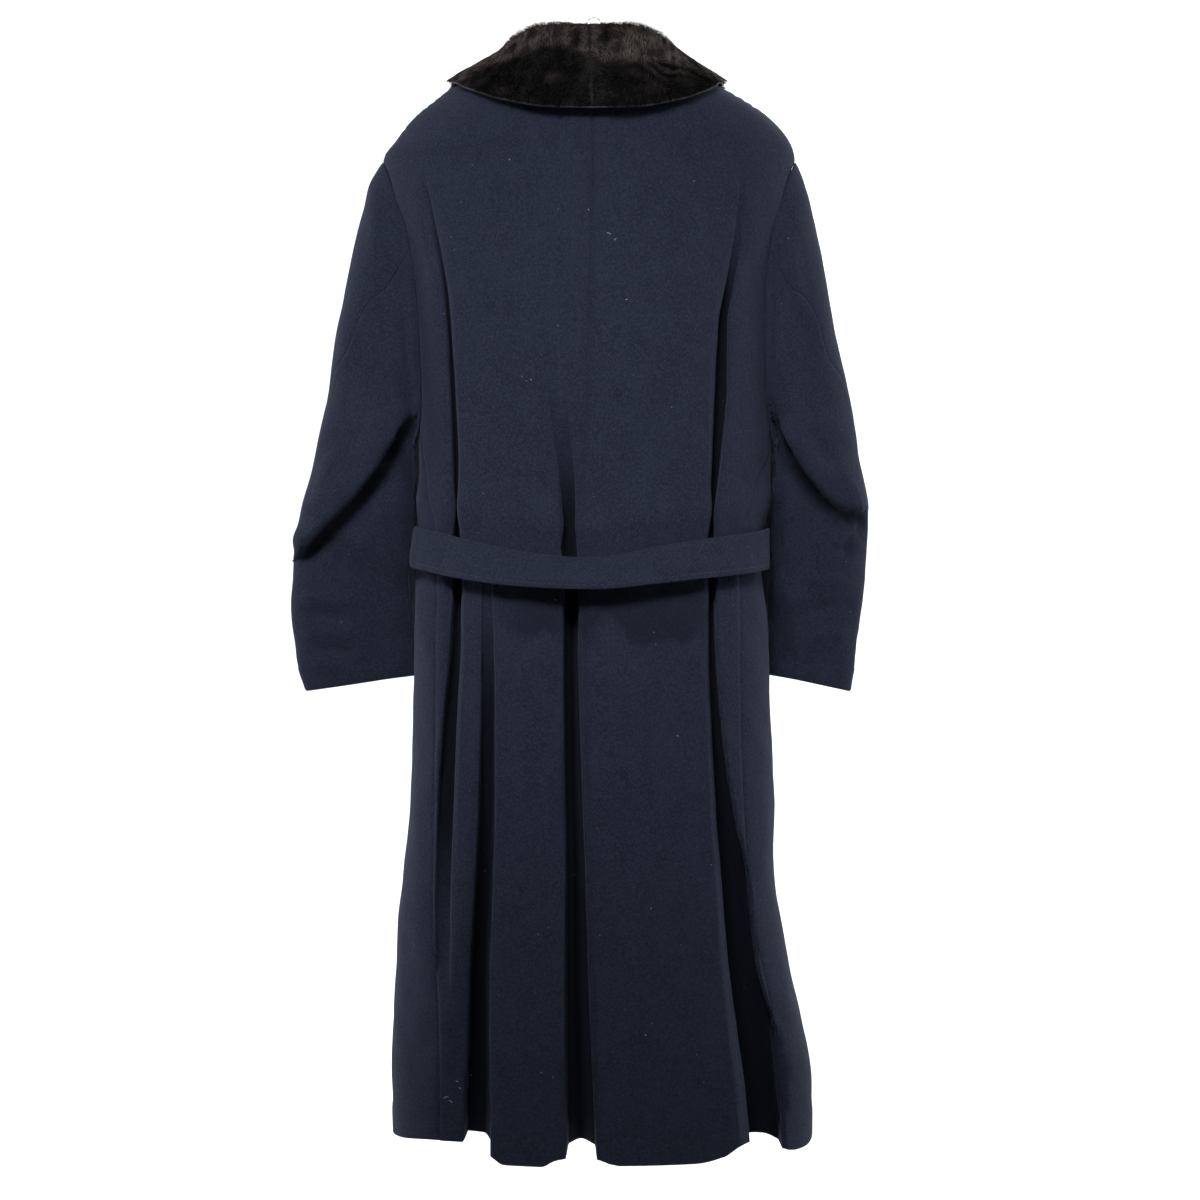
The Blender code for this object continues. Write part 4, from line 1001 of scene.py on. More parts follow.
def wool_material(name, colour, nap):
    """Brushed wool melton: a felted nap over a fine twill, cloudy where it is brushed, with lint, and with
    painted shade in the folds' slits, under the sleeves' laps and below the belt.
    """
    n = Nodes(name)
    cloud = n.noise(7.0, 3.0, 0.55, stretch=(1.0, 1.0, 0.45))
    brushed = n.noise(46.0, 4.0, 0.62, stretch=(1.0, 1.0, 0.7))
    felt = n.noise(420.0, 3.0, 0.7)
    fuzz = n.noise(1250.0, 2.0, 0.6)
    base = n.mix(n.span(brushed, 0.32, 0.68), scaled(colour, 0.86), scaled(colour, 1.14))
    base = n.mix(n.span(cloud, 0.3, 0.7, 0.0, 0.35), base, scaled(colour, 0.6))
    base = n.mix(n.span(felt, 0.42, 0.72, 0.0, 0.75), base, scaled(colour, 1.9))
    base = n.mix(n.span(fuzz, 0.62, 0.74, 0.0, 0.35), base, scaled(colour, 3.4))
    # painted shadow below the belt, darkening the cloth's colour
    base = n.mix(n.math("MULTIPLY", belt_shadow_patch(n, brushed), 0.6), base, scaled(colour, 0.5))
    # painted shade: the cloth's colour is darkened in the slits of the folds and on the low sides of the
    # sleeves' laps
    folded = n.add("ShaderNodeAttribute", attribute_name="tone_and_shade").outputs["Fac"]
    base = n.mix(n.math("MULTIPLY", folded, 0.85), base, scaled(colour, 0.12))
    speck = n.add("ShaderNodeTexVoronoi", feature="F1")
    speck.inputs["Scale"].default_value = 64.0
    speck.inputs["Randomness"].default_value = 1.0
    n.join(n.place, speck.inputs["Vector"])
    dot = n.span(speck.outputs["Distance"], 0.035, 0.06, 1.0, 0.0)
    chance = n.span(n.noise(31.0, 1.0), 0.56, 0.6)
    fleck = n.math("MULTIPLY", dot, chance, True)
    base = n.mix(n.math("MULTIPLY", fleck, 0.35), base, (0.20, 0.21, 0.24))
    n.join(base, n.shader.inputs["Base Color"])
    n.join(n.span(felt, 0.3, 0.7, 0.97, 0.82), n.shader.inputs["Roughness"])
    n.shader.inputs["Specular IOR Level"].default_value = 0.06
    n.shader.inputs["Sheen Weight"].default_value = 0.08
    n.shader.inputs["Sheen Roughness"].default_value = 0.55
    n.shader.inputs["Sheen Tint"].default_value = (0.42, 0.5, 0.72, 1)
    height = n.math("ADD", n.math("MULTIPLY", brushed, 0.6), n.math("MULTIPLY", felt, 0.5))
    height = n.math("ADD", height, n.math("MULTIPLY", fuzz, 0.22))
    n.join(n.bump(height, 0.75, nap * MM), n.shader.inputs["Normal"])
    return n.material


def fur_material(name, colour, light):
    """Pile fur: near black at the roots, brown-grey and glossy at the tips, uneven hair by hair."""
    n = Nodes(name)
    tone_and_shade = n.add("ShaderNodeAttribute", attribute_name="tone_and_shade").outputs["Fac"]
    patch = n.noise(55.0, 3.0, 0.6)
    # the tone carries painted light and shade of the fall as well as the hair's darker roots and uneven tone
    base = n.mix(tone_and_shade, colour, light)
    base = n.mix(n.span(patch, 0.45, 0.7, 0.0, 0.4), base, colour)
    n.join(base, n.shader.inputs["Base Color"])
    n.join(n.span(tone_and_shade, 0.0, 1.0, 0.7, 0.4), n.shader.inputs["Roughness"])
    n.shader.inputs["Specular IOR Level"].default_value = 0.07
    return n.material


def skin_material(name, colour):
    """The dark backing under the pile."""
    n = Nodes(name)
    patch = n.noise(240.0, 4.0, 0.7)
    n.join(n.mix(patch, scaled(colour, 0.3), colour), n.shader.inputs["Base Color"])
    n.shader.inputs["Roughness"].default_value = 0.9
    n.join(n.bump(patch, 0.8, 1.2 * MM), n.shader.inputs["Normal"])
    return n.material


def steel_material(name):
    n = Nodes(name)
    wear = n.noise(700.0, 3.0, 0.6)
    n.join(n.mix(wear, (0.20, 0.20, 0.20), (0.46, 0.46, 0.45)), n.shader.inputs["Base Color"])
    n.shader.inputs["Metallic"].default_value = 1.0
    n.join(n.span(wear, 0.2, 0.8, 0.22, 0.42), n.shader.inputs["Roughness"])
    return n.material


def thread_material(name, colour):
    n = Nodes(name)
    twist = n.add("ShaderNodeTexWave", wave_type="BANDS")
    twist.inputs["Scale"].default_value = 900.0
    twist.inputs["Distortion"].default_value = 2.0
    n.join(n.place, twist.inputs["Vector"])
    ply = twist.outputs["Fac"]
    n.join(n.mix(ply, scaled(colour, 0.7), scaled(colour, 1.5)), n.shader.inputs["Base Color"])
    n.shader.inputs["Roughness"].default_value = 0.7
    n.join(n.bump(ply, 0.5, 0.1 * MM), n.shader.inputs["Normal"])
    return n.material


def stage_material(name, colour):
    n = Nodes(name)
    grain = n.noise(9.0, 2.0)
    n.join(n.mix(grain, scaled(colour, 0.985), colour), n.shader.inputs["Base Color"])
    n.shader.inputs["Roughness"].default_value = 0.95
    return n.material


# ---------------------------------------------------------------- settings
class CoatSettings(bpy.types.PropertyGroup):
    """Sizes and colours of the coat that can be changed."""

    cloth_colour: bpy.props.FloatVectorProperty(
        name="Cloth colour", description="Colour of the wool", subtype="COLOR", size=3,
        min=0.0, max=1.0, default=(0.0138, 0.0172, 0.0300))
    binding_colour: bpy.props.FloatVectorProperty(
        name="Binding colour", description="Colour of the narrow line along the collar's edge",
        subtype="COLOR", size=3, min=0.0, max=1.0, default=(0.030, 0.030, 0.035))
    nap_height: bpy.props.FloatProperty(
        name="Nap height", description="How rough the brushed surface of the wool is, in millimetres",
        default=0.9, min=0.0, max=3.0)
    cloth_thickness: bpy.props.FloatProperty(
        name="Cloth thickness", description="Thickness of the wool", subtype="DISTANCE", unit="LENGTH",
        default=0.0022, min=0.001, max=0.003)


class FurSettings(bpy.types.PropertyGroup):
    """Pile of the collar."""

    root_colour: bpy.props.FloatVectorProperty(
        name="Root colour", description="Colour of the pile near the skin", subtype="COLOR", size=3,
        min=0.0, max=1.0, default=(0.0013, 0.0012, 0.0016))
    tip_colour: bpy.props.FloatVectorProperty(
        name="Tip colour", description="Colour of the lighter hair tips", subtype="COLOR", size=3,
        min=0.0, max=1.0, default=(0.185, 0.155, 0.143))
    hair_length: bpy.props.FloatProperty(
        name="Hair length", description="Mean length of the pile", subtype="DISTANCE", unit="LENGTH",
        default=0.0105, min=0.003, max=0.02)
    hair_count: bpy.props.IntProperty(
        name="Hairs", description="Number of modelled hairs on each half of the collar",
        default=37000, min=1000, max=39000)


class BeltSettings(bpy.types.PropertyGroup):
    """The cloth belt."""

    width: bpy.props.FloatProperty(
        name="Width", description="Width of the belt", subtype="DISTANCE", unit="LENGTH",
        default=BELT_WIDTH * MM, min=0.02, max=0.08)
    stitch_inset: bpy.props.FloatProperty(
        name="Stitch inset", description="Distance of the stitching from the belt's edge",
        subtype="DISTANCE", unit="LENGTH", default=0.006, min=0.002, max=0.02)


class StageSettings(bpy.types.PropertyGroup):
    """Floor, light and camera."""

    floor_colour: bpy.props.FloatVectorProperty(
        name="Floor colour", description="Colour of the floor and backdrop", subtype="COLOR", size=3,
        min=0.0, max=1.0, default=(0.86, 0.86, 0.86))
    key_power: bpy.props.FloatProperty(
        name="Key light", description="Power of the large soft light", unit="POWER", default=3.7,
        min=0.0)
    studio_power: bpy.props.FloatProperty(
        name="Studio lights", description="Power that the side, front and backdrop lights share out",
        unit="POWER", default=60.0, min=0.0)
    key_spread: bpy.props.FloatProperty(
        name="Key spread", description="Degrees over which the key light spreads; the hem falls off darker",
        default=33.0, min=10.0, max=180.0)


# ---------------------------------------------------------------- pieces
def wool(settings):
    found = bpy.data.materials.get("navy_wool")
    return found or wool_material("navy_wool", tuple(settings.cloth_colour), settings.nap_height)


class COAT_OT_backs(bpy.types.Operator):
    """Builds the two halves of the back with their folds and the centre back seam"""
    bl_idname = "coat.backs"
    bl_label = "Back panels"

    def execute(self, context):
        settings = context.scene.coat
        for left, side in ((True, "left"), (False, "right")):
            points, form, shade = body_cloth(left, True)
            piece = shell(f"wool_back_{side}", points, settings.cloth_thickness / MM, form, shade)
            finish_piece(piece, wool(settings), (f"back_{side}",))
        return {"FINISHED"}


class COAT_OT_fronts(bpy.types.Operator):
    """Builds the two fronts, the right lapped over the left"""
    bl_idname = "coat.fronts"
    bl_label = "Fronts"

    def execute(self, context):
        settings = context.scene.coat
        for left, side in ((True, "left"), (False, "right")):
            points, form, shade = body_cloth(left, False)
            piece = shell(f"wool_front_{side}", points, settings.cloth_thickness / MM, form, shade)
            finish_piece(piece, wool(settings), (f"front_{side}",))
        return {"FINISHED"}


class COAT_OT_sleeves(bpy.types.Operator):
    """Builds both sleeves, each from a top and an under half, creased at the elbow"""
    bl_idname = "coat.sleeves"
    bl_label = "Sleeves"

    def execute(self, context):
        settings = context.scene.coat
        for left, side in ((True, "left"), (False, "right")):
            for top, half in ((True, "top"), (False, "under")):
                points, outward, shade = sleeve_grid(left, top)
                piece = shell(f"wool_sleeve_{side}_{half}", points, settings.cloth_thickness / MM,
                              outward, 0.8 * shade)
                finish_piece(piece, wool(settings), (f"sleeve_{side}_{half}",))
        return {"FINISHED"}


class COAT_OT_under_collar(bpy.types.Operator):
    """Builds the cloth under the fur and the narrow binding that shows along the collar's edge"""
    bl_idname = "coat.under_collar"
    bl_label = "Under-collar and binding"

    def execute(self, context):
        settings = context.scene.coat
        last = len(COLLAR) - 1
        station, step = np.meshgrid(np.linspace(-last, last, 180), np.linspace(0, 1, 26), indexing="ij")
        line = collar_line(station, step)
        way = collar_normal(station, step)
        piece = shell("wool_under_collar", line - way * 0.3, 1.6, way)
        finish_piece(piece, wool(settings), ("under_collar",))
        # a rounded cord of bias binding along the edge of the fall
        run = np.linspace(-last, last, 420)
        path = collar_line(run, np.full(run.shape, 1.0))
        side = collar_normal(run, np.full(run.shape, 1.0))
        along = unit(np.gradient(path, axis=0))
        down = unit(np.cross(side, along))
        down = down * np.sign((down * (path - collar_line(run, np.full(run.shape, 0.9)))).sum(-1))[:, None]
        turns = np.linspace(0, 2 * np.pi, 9)[:-1]
        rings = [path + down * (0.6 + 1.0 * np.cos(t)) + side * (0.2 + 1.2 * np.sin(t)) for t in turns]
        points = np.stack(rings, 1).reshape(-1, 3)
        at = np.arange(len(points)).reshape(len(run), len(turns))
        nxt = np.roll(at, -1, axis=1)
        faces = np.stack([at[:-1], nxt[:-1], nxt[1:], at[1:]], -1).reshape(-1, 4)
        binding = smooth_mesh("collar_binding", points, faces)
        finish_piece(binding, thread_material("bias_binding", tuple(settings.binding_colour)))
        return {"FINISHED"}


class COAT_OT_fur(bpy.types.Operator):
    """Covers the collar with short combed pile, parted at the centre back"""
    bl_idname = "coat.fur"
    bl_label = "Fur"

    def execute(self, context):
        fur = context.scene.coat_fur
        last = len(COLLAR) - 1
        station, step = np.meshgrid(np.linspace(-last, last, 150), np.linspace(0, 1, 40), indexing="ij")
        deep = fur_depth(station, step)
        base = collar_line(station, step) + collar_normal(station, step) * (deep * 0.3)[..., None]
        skin = shell("fur_backing", base, 1.2, collar_normal(station, step))
        finish_piece(skin, skin_material("fur_backing", tuple(fur.root_colour)), ("fur_collar",))
        hair = fur_material("pile_fur", tuple(fur.root_colour), tuple(fur.tip_colour))
        for number, (low, high, side) in enumerate(((0, last, "left"), (-last, 0, "right"))):
            points, faces, tone_and_shade = comb_hairs(low, high, fur.hair_count, fur.hair_length / MM, SEED + number)
            pile = smooth_mesh(f"fur_pile_{side}", points, faces, tone_and_shade)
            finish_piece(pile, hair, ("fur_collar",))
        return {"FINISHED"}


def fur_depth(station, step):
    """Reach of the pile from the collar's middle layer."""
    last = len(COLLAR) - 1
    ends = ease((last - np.abs(station)) / 1.2)
    deep = 5.5 + 4.5 * ease((step - 0.2) / 0.3)
    deep = 3 + (deep - 3) * ends
    deep = deep + 3.4 * np.exp(-((step - 0.27) / 0.13) ** 2) * ends
    dip_at_back = 1 - 0.34 * np.exp(-(station / 0.36) ** 2)
    return deep * dip_at_back * (1 - 0.08 * ease((step - 0.88) / 0.12))


def wave_noise(u, v, seed, size):
    """Smooth uneven values between about -1 and 1, from crossing waves."""
    spin = np.random.default_rng(seed)
    total = np.zeros(np.shape(u))
    for _ in range(7):
        turn = spin.uniform(0, 2 * np.pi)
        length = size * spin.uniform(0.6, 1.6)
        total += np.sin((u * np.cos(turn) + v * np.sin(turn)) * 2 * np.pi / length + spin.uniform(0, 6.28))
    return total / 3.2


def comb_hairs(low, high, count, length, seed):
    """Roots, tips and tones of the hairs on one half of the collar, as slim three-step blades."""
    spin = np.random.default_rng(seed)
    # more hairs where the collar is wider: pick places in proportion to the local area
    station_edges, step_edges = np.linspace(low, high, 90), np.linspace(0, 1, 50)
    s, t = np.meshgrid(station_edges, step_edges, indexing="ij")
    grid = collar_line(s, t)
    a = grid[1:, :-1] - grid[:-1, :-1]
    b = grid[:-1, 1:] - grid[:-1, :-1]
    area = np.linalg.norm(np.cross(a, b), axis=-1)
    middle = (t[1:, 1:] + t[:-1, :-1]) / 2
    weight = area * np.where(middle < 0.16, 0.45, 1.0)
    cell = spin.choice(weight.size, size=count, p=(weight / weight.sum()).ravel())
    i, j = np.divmod(cell, weight.shape[1])
    station = station_edges[i] + (station_edges[1] - station_edges[0]) * spin.random(count)
    step = step_edges[j] + (step_edges[1] - step_edges[0]) * spin.random(count)
    way = collar_normal(station, step)
    middle_line = collar_line(station, step)
    deep = fur_depth(station, step)
    root = middle_line + way * (deep * 0.28)[:, None]
    beyond = collar_line(station, np.minimum(step + 0.02, 1.02)) - collar_line(station, step - 0.02)
    down = unit(beyond)
    aside = unit(collar_line(station + 0.1, step) - collar_line(station - 0.1, step))
    across = np.where(station >= 0, 1.0, -1.0)
    u, v = station * 34, step * 190
    clump = wave_noise(u, v, SEED + 31, 17)
    swirl = wave_noise(u, v, SEED + 37, 42)
    # parted at the centre back: beside the seam the hair leans away from it and is worn shorter
    parting = np.exp(-(np.abs(station) / 0.42) ** 2)
    lean_side = across * (0.25 + 0.9 * parting) + 0.75 * swirl + 0.35 * clump
    lean_down = 1.0 + 0.45 * clump - 0.5 * parting + 0.25 * swirl
    stand = 0.7 + 0.35 * np.abs(clump) - 0.2 * parting
    aim = way * stand[:, None] + down * lean_down[:, None] + aside * lean_side[:, None]
    aim = unit(aim + spin.normal(0, 0.13, (count, 3)))
    reach = length * (0.75 + 0.2 * clump) * spin.uniform(0.75, 1.1, count) * (1 - 0.45 * parting)
    # no hair rises above the depth of the pile
    rise = (aim * way).sum(-1) * reach
    over = np.clip(rise / np.maximum(deep * 0.62, 0.5), 1, None)
    aim = unit(aim - way * (((aim * way).sum(-1)) * (1 - 1 / over))[:, None])
    bend = unit(aim + down * 0.6 - way * 0.75 + spin.normal(0, 0.10, (count, 3)))
    p1 = root + aim * (reach * 0.5)[:, None]
    p2 = p1 + bend * (reach * 0.5)[:, None]
    flat = unit(np.cross(aim, spin.normal(0, 1, (count, 3))))
    wide = (0.30 * spin.uniform(0.7, 1.25, count))[:, None]
    points = np.stack([root - flat * wide, root + flat * wide, p1 - flat * wide * 0.8,
                       p1 + flat * wide * 0.8, p2], 1)
    at = (np.arange(count) * 5)[:, None]
    faces = np.stack([at + (0, 1, 3), at + (0, 3, 2), at + (2, 3, 4)], 1).reshape(-1, 3)
    strand = wave_noise(station * 34 + 9 * swirl, step * 40, SEED + 41, 7)
    fleck = wave_noise(station * 34, step * 80, SEED + 43, 4.5)
    # brightness of each hair: painted light and shade of the fur, with the hair's own uneven tone
    bright = fur_tone_and_light(root, clump, swirl) * (1 + 0.26 * strand + 0.2 * fleck) * spin.uniform(0.5, 1.4, count)
    rare = spin.random(count) < 0.02
    bright = np.clip(np.where(rare, bright + 0.25, bright), 0, 1)
    tone_and_shade = np.stack([bright * 0.1, bright * 0.1, bright * 0.6, bright * 0.6, bright], 1)
    return points.reshape(-1, 3), faces, tone_and_shade.ravel()


def fur_tone_and_light(place, clump, swirl):
    """How light the hair is at a place: painted light above the crease of the fall and painted shade, near
    black, below it, with patches and streaks of painted highlight and shade over the hair's uneven tone.
    """
    x, z = place[:, 0], place[:, 2]
    behind = ease((place[:, 1] - 10) / 30)
    # painted light above the crease and painted shade below it
    crease = np.interp(x, *zip(*FUR_CREASE)) + 2.5 * clump
    high = ease((z - crease + 3) / 12)
    streak = 0.5 + 0.5 * np.sin((x * 0.35 - z) / 1.9 + 2.6 * swirl + 1.5 * clump)
    tone_and_shade = 0.02 + high * (0.62 + 0.38 * clump + 0.25 * swirl)
    # patches of painted highlight and painted shade
    for patch_x, patch_z, wide, tall, gain in FUR_LIGHT_AND_SHADE_PATCHES:
        tone_and_shade = tone_and_shade + gain * np.exp(-((x - patch_x) / wide) ** 2 - ((z - patch_z) / tall) ** 2)
    # painted highlight streaks on the right of the fall
    waves = np.exp(-((x + 80) / 30) ** 2 - ((z - 1) / 12) ** 2)
    tone_and_shade = tone_and_shade + waves * (0.5 * streak - 0.1)
    hidden = 0.3 + 0.28 * clump + 0.2 * swirl
    return np.clip(tone_and_shade * behind + hidden * (1 - behind), 0.0, 1.0)


def belt_place(angle, across, width):
    """A point on the middle of the belt's thickness, its outward way, and the way across it."""
    at = np.mod(angle, 360)
    lean = np.radians(curve(BELT, 2, at))
    height = curve(BELT, 1, at) + across * width * np.cos(lean)
    base = body(at, height, folded=False)
    around = body(at + 0.5, height, False) - body(at - 0.5, height, False)
    level = np.zeros(around.shape)
    level[..., 2] = 1
    out = unit(np.cross(around, level))
    stand_off = BELT_EASE + (0.5 - across) * width * np.sin(lean)
    over = ease((angle - 590) / 20) * (BELT_THICK + 1)
    return base + out * (stand_off + over + BELT_THICK / 2)[..., None], out


class COAT_OT_belt(bpy.types.Operator):
    """Builds the belt with rounded edges, a soft lengthwise swell and stitching near its lower edge"""
    bl_idname = "coat.belt"
    bl_label = "Belt"

    def execute(self, context):
        belt = context.scene.coat_belt
        width = belt.width / MM
        inset = belt.stitch_inset / MM
        turns = np.linspace(256, 644, 420)
        profile = []
        for t in np.linspace(0, 2 * np.pi, 49)[:-1]:
            across = 0.5 * power(np.cos(t), 0.55)
            deep = BELT_THICK / 2 * power(np.sin(t), 0.75)
            profile.append((across, deep))
        rings = []
        for across, deep in profile:
            side = np.full(turns.shape, across)
            place, out = belt_place(turns, side, width)
            from_edge = (0.5 + across) * width
            groove = 0.5 * np.exp(-((from_edge - inset) / 1.1) ** 2)
            swell = 0.35 * np.sin(turns / 4.1 + 3 * across) + 0.25 * np.sin(turns / 1.7)
            sign = 1 if deep >= 0 else -1
            shift = deep - sign * groove + (swell if deep >= 0 else np.minimum(swell, 0))
            rings.append(place + out * shift[..., None])
        grid = np.stack(rings, 1)
        points = grid.reshape(-1, 3)
        at = np.arange(len(points)).reshape(grid.shape[:2])
        nxt = np.roll(at, -1, axis=1)
        faces = np.stack([at[:-1], at[1:], nxt[1:], nxt[:-1]], -1).reshape(-1, 4)
        points = np.concatenate([points, grid[:1].mean(1), grid[-1:].mean(1)])
        caps = []
        for row, hub in ((0, len(points) - 2), (len(turns) - 1, len(points) - 1)):
            ring = at[row]
            pair = np.stack([ring, np.roll(ring, -1), np.full(len(ring), hub), np.full(len(ring), hub)], -1)
            caps.append(pair[:, :3])
        piece = bpy.data.meshes.new("wool_belt")
        everything = faces.tolist() + [c.tolist() for c in caps[0]] + [c[::-1].tolist() for c in caps[1]]
        piece.from_pydata((points * MM).tolist(), [], everything)
        piece.shade_smooth()
        band = bpy.data.objects.new("wool_belt", piece)
        context.scene.collection.objects.link(band)
        finish_piece(band, wool(context.scene.coat), ("belt",))
        stitches = stitch_row(turns[0] + 1, turns[-1] - 1, width, inset)
        finish_piece(stitches, thread_material("navy_thread", (0.020, 0.025, 0.042)))
        return {"FINISHED"}


def stitch_row(start, end, width, inset):
    """Short raised stitches near the belt's lower edge."""
    at = np.linspace(start, end, int((end - start) * math.radians(1) * 165 / 3.6))
    across = np.full(at.shape, inset / width - 0.5)
    here, out = belt_place(at, across, width)
    swell = 0.35 * np.sin(at / 4.1 + 3 * across) + 0.25 * np.sin(at / 1.7)
    run = unit(belt_place(at + 0.2, across, width)[0] - here)
    place = here + out * (BELT_THICK / 2 - 0.42 + swell)[:, None]
    side = np.cross(out, run)
    half, thick = 1.15, 0.24
    corners = []
    for along, lift in ((-1.0, 0.0), (-0.45, 1.0), (0.45, 1.0), (1.0, 0.0)):
        middle = place + run * half * along + out * (thick * lift)
        corners += [middle - side * thick, middle + side * thick]
    points = np.stack(corners, 1)
    at = (np.arange(len(place)) * 8)[:, None]
    quads = [at + np.array(q) for q in ((0, 1, 3, 2), (2, 3, 5, 4), (4, 5, 7, 6))]
    faces = np.stack(quads, 1).reshape(-1, 4)
    return smooth_mesh("belt_stitches", points.reshape(-1, 3), faces)


class COAT_OT_chain(bpy.types.Operator):
    """Builds the small hanging chain inside the back neck, link by link"""
    bl_idname = "coat.chain"
    bl_label = "Hanging chain"

    def execute(self, context):
        def face(station, step):
            return collar_line(station, step) + collar_normal(station, step) * 8.95

        steps = np.array([0.05, 0.09, 0.13])
        left_leg = face(np.full(3, 0.11), steps)
        right_leg = face(np.full(3, -0.42), steps)[::-1]
        start, end = left_leg[-1], right_leg[0]
        turns = np.radians(np.linspace(0, 180, 31))[1:-1, None]
        arc = (start + end) / 2 + (start - end) / 2 * np.cos(turns)
        arc[:, 2] += (CHAIN_TOP - start[2]) * np.sin(turns[:, 0])
        route = np.concatenate([left_leg, arc, right_leg])
        run = np.concatenate([[0], np.cumsum(np.linalg.norm(np.diff(route, axis=0), axis=1))])
        pitch = 2.6
        count = int(run[-1] / pitch)
        at = np.linspace(0, run[-1], count)
        place = np.stack([np.interp(at, run, route[:, k]) for k in range(3)], 1)
        way = unit(np.gradient(place, axis=0))
        loops, tube = 18, 8
        major = np.linspace(0, 2 * np.pi, loops + 1)[:-1]
        minor = np.linspace(0, 2 * np.pi, tube + 1)[:-1]
        points, faces = [], []
        for k in range(count):
            side = unit(np.cross(way[k], (0, 1, 0.2)))
            flat = side if k % 2 else unit(np.cross(way[k], side))
            third = unit(np.cross(way[k], flat))
            base = len(points) * loops * tube
            longer = 1.15 * np.sign(np.cos(major)) * np.abs(np.cos(major)) ** 0.8 * 1.35
            centre = (place[k] + way[k] * longer[:, None]
                      + flat * (1.15 * np.sin(major))[:, None])
            radial = unit(way[k] * np.cos(major)[:, None] + flat * np.sin(major)[:, None])
            ring = (centre[:, None] + 0.36 * (radial[:, None] * np.cos(minor)[None, :, None]
                                              + third * np.sin(minor)[None, :, None]))
            points.append(ring.reshape(-1, 3))
            grid = np.arange(loops * tube).reshape(loops, tube) + base
            up, over = np.roll(grid, -1, 0), np.roll(grid, -1, 1)
            both = np.roll(up, -1, 1)
            faces.append(np.stack([grid, up, both, over], -1).reshape(-1, 4))
        chain = smooth_mesh("chain_links", np.concatenate(points), np.concatenate(faces))
        finish_piece(chain, steel_material("bright_steel"), ("hanging_chain",))
        return {"FINISHED"}


class COAT_OT_lint(bpy.types.Operator):
    """Lays a few pale fibres of lint on the back"""
    bl_idname = "coat.lint"
    bl_label = "Lint"

    def execute(self, context):
        points, faces = [], []
        for x, height, length, turn in LINT:
            length = length * 0.7
            angle = angle_of(x, height)
            t = np.linspace(-0.5, 0.5, 7)
            lean = math.radians(turn)
            xs = x + length * t * math.cos(lean) + 0.12 * length * np.sin(t * 7)
            zs = height + length * t * math.sin(lean) + 0.10 * length * np.cos(t * 5)
            angles = angle_of(xs, zs)
            skin = body(angles, zs)
            relief = cloth_relief(angles, zs, skin)
            way = body_normal(np.full(7, float(angle)), np.full(7, float(height)))
            spine = skin + way * (relief + 0.5)[:, None]
            side = unit(np.cross(np.gradient(spine, axis=0), way))
            thick = 0.24 * np.sqrt(np.clip(1 - (2 * t) ** 2, 0.05, 1))[:, None]
            ring = np.stack([spine - side * thick, spine + way * thick, spine + side * thick], 1)
            base = sum(len(p) for p in points)
            points.append(ring.reshape(-1, 3))
            for k in range(6):
                for c in range(2):
                    a = base + k * 3 + c
                    faces.append((a, a + 1, a + 4, a + 3))
        lint = smooth_mesh("lint_fibres", np.concatenate(points), np.array(faces))
        finish_piece(lint, thread_material("pale_lint", (0.30, 0.30, 0.32)))
        return {"FINISHED"}


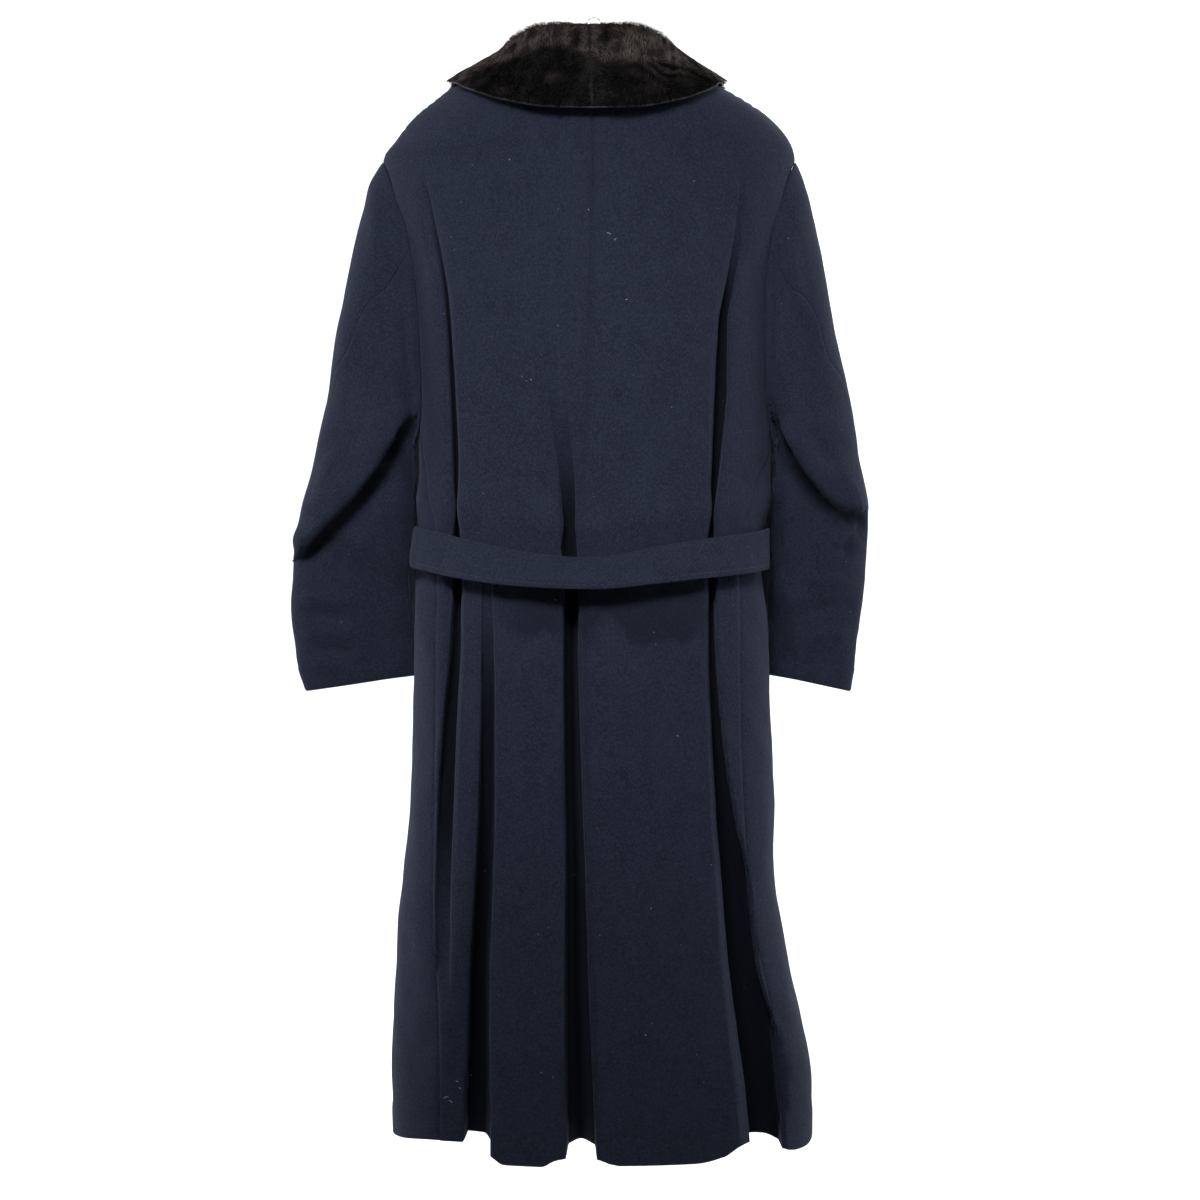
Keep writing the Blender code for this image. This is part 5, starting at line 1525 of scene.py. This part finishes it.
# ---------------------------------------------------------------- stage
class COAT_OT_stage(bpy.types.Operator):
    """Sets the plain floor and backdrop, the soft lights and the camera"""
    bl_idname = "coat.stage"
    bl_label = "Stage"

    def execute(self, context):
        stage = context.scene.coat_stage
        colour = tuple(stage.floor_colour)
        profile = [(6.0, -1.62)]
        for t in np.radians(np.linspace(0, 90, 13)):
            profile.append((-1.6 - 1.2 * math.sin(t), -1.62 + 1.2 * (1 - math.cos(t))))
        profile.append((-2.8, 3.5))
        points = np.array([(x, y, z) for y, z in profile for x in (-7.0, 7.0)], float) / MM
        count = len(profile)
        faces = np.array([(2 * k, 2 * k + 1, 2 * k + 3, 2 * k + 2) for k in range(count - 1)])
        floor = smooth_mesh("studio_floor", points, faces)
        floor.data.materials.append(stage_material("pale_floor", colour))
        world = bpy.data.worlds.new("studio")
        context.scene.world = world
        world.use_nodes = True
        world.node_tree.nodes["Background"].inputs["Color"].default_value = (1, 1, 1, 1)
        world.node_tree.nodes["Background"].inputs["Strength"].default_value = 0.10
        # name, place, point it faces, width, height, power
        power_of = stage.studio_power
        lights = (
            ("key", (0.35, 2.2, 0.9), (0, 0, -0.42), 1.0, 0.7, stage.key_power),
            ("side", (-2.2, 1.2, 0.2), (0, 0, -0.4), 0.8, 1.6, power_of * 0.06),
            ("backdrop_left", (2.6, -0.9, 0.9), (0.9, -2.8, -0.1), 1.8, 2.6, power_of * 1.7),
            ("backdrop_right", (-2.6, -0.9, 0.9), (-0.9, -2.8, -0.1), 1.8, 2.6, power_of * 1.7),
            ("front", (-0.6, -2.4, 1.2), (0, 0, -0.5), 1.4, 1.2, power_of * 0.7),
        )
        for name, place, aim, width, height, power_watts in lights:
            lamp = bpy.data.lights.new(name, "AREA")
            lamp.shape = "RECTANGLE"
            lamp.size, lamp.size_y = width, height
            lamp.energy = power_watts
            if name == "key":
                lamp.spread = math.radians(stage.key_spread)
            holder = bpy.data.objects.new(name, lamp)
            holder.location = place
            to = Vector(aim) - Vector(place)
            holder.rotation_euler = to.to_track_quat("-Z", "Y").to_euler()
            context.scene.collection.objects.link(holder)
        lens = bpy.data.cameras.new("camera")
        lens.sensor_width = 36
        lens.lens = 36 * 2182 / 1200
        camera = bpy.data.objects.new("camera", lens)
        camera.location = (-0.011, 2.4, -0.560)
        camera.rotation_euler = (math.pi / 2, 0, math.pi)
        context.scene.collection.objects.link(camera)
        context.scene.camera = camera
        context.scene.view_settings.view_transform = "Standard"
        return {"FINISHED"}


PIECES = (COAT_OT_backs, COAT_OT_fronts, COAT_OT_sleeves, COAT_OT_under_collar, COAT_OT_fur,
          COAT_OT_belt, COAT_OT_chain, COAT_OT_lint, COAT_OT_stage)


class COAT_PT_panel(bpy.types.Panel):
    """Lists the steps that build the coat, and its settings"""
    bl_idname = "COAT_PT_panel"
    bl_label = "Long coat"
    bl_space_type = "VIEW_3D"
    bl_region_type = "UI"
    bl_category = "Coat"

    def draw(self, context):
        for step in PIECES:
            self.layout.operator(step.bl_idname)
        for group in (context.scene.coat, context.scene.coat_fur, context.scene.coat_belt,
                      context.scene.coat_stage):
            box = self.layout.box()
            for name in group.__annotations__:
                box.prop(group, name)


GROUPS = {"coat": CoatSettings, "coat_fur": FurSettings, "coat_belt": BeltSettings,
          "coat_stage": StageSettings}


def register():
    for name, group in GROUPS.items():
        bpy.utils.register_class(group)
        setattr(bpy.types.Scene, name, bpy.props.PointerProperty(type=group))
    for kind in (*PIECES, COAT_PT_panel):
        bpy.utils.register_class(kind)


def unregister():
    for kind in (COAT_PT_panel, *reversed(PIECES)):
        bpy.utils.unregister_class(kind)
    for name, group in GROUPS.items():
        delattr(bpy.types.Scene, name)
        bpy.utils.unregister_class(group)


def main():
    """Registers the classes and builds every piece in order."""
    register()
    for step in PIECES:
        group, name = step.bl_idname.split(".")
        getattr(getattr(bpy.ops, group), name)()


if __name__ == "__main__":
    main()
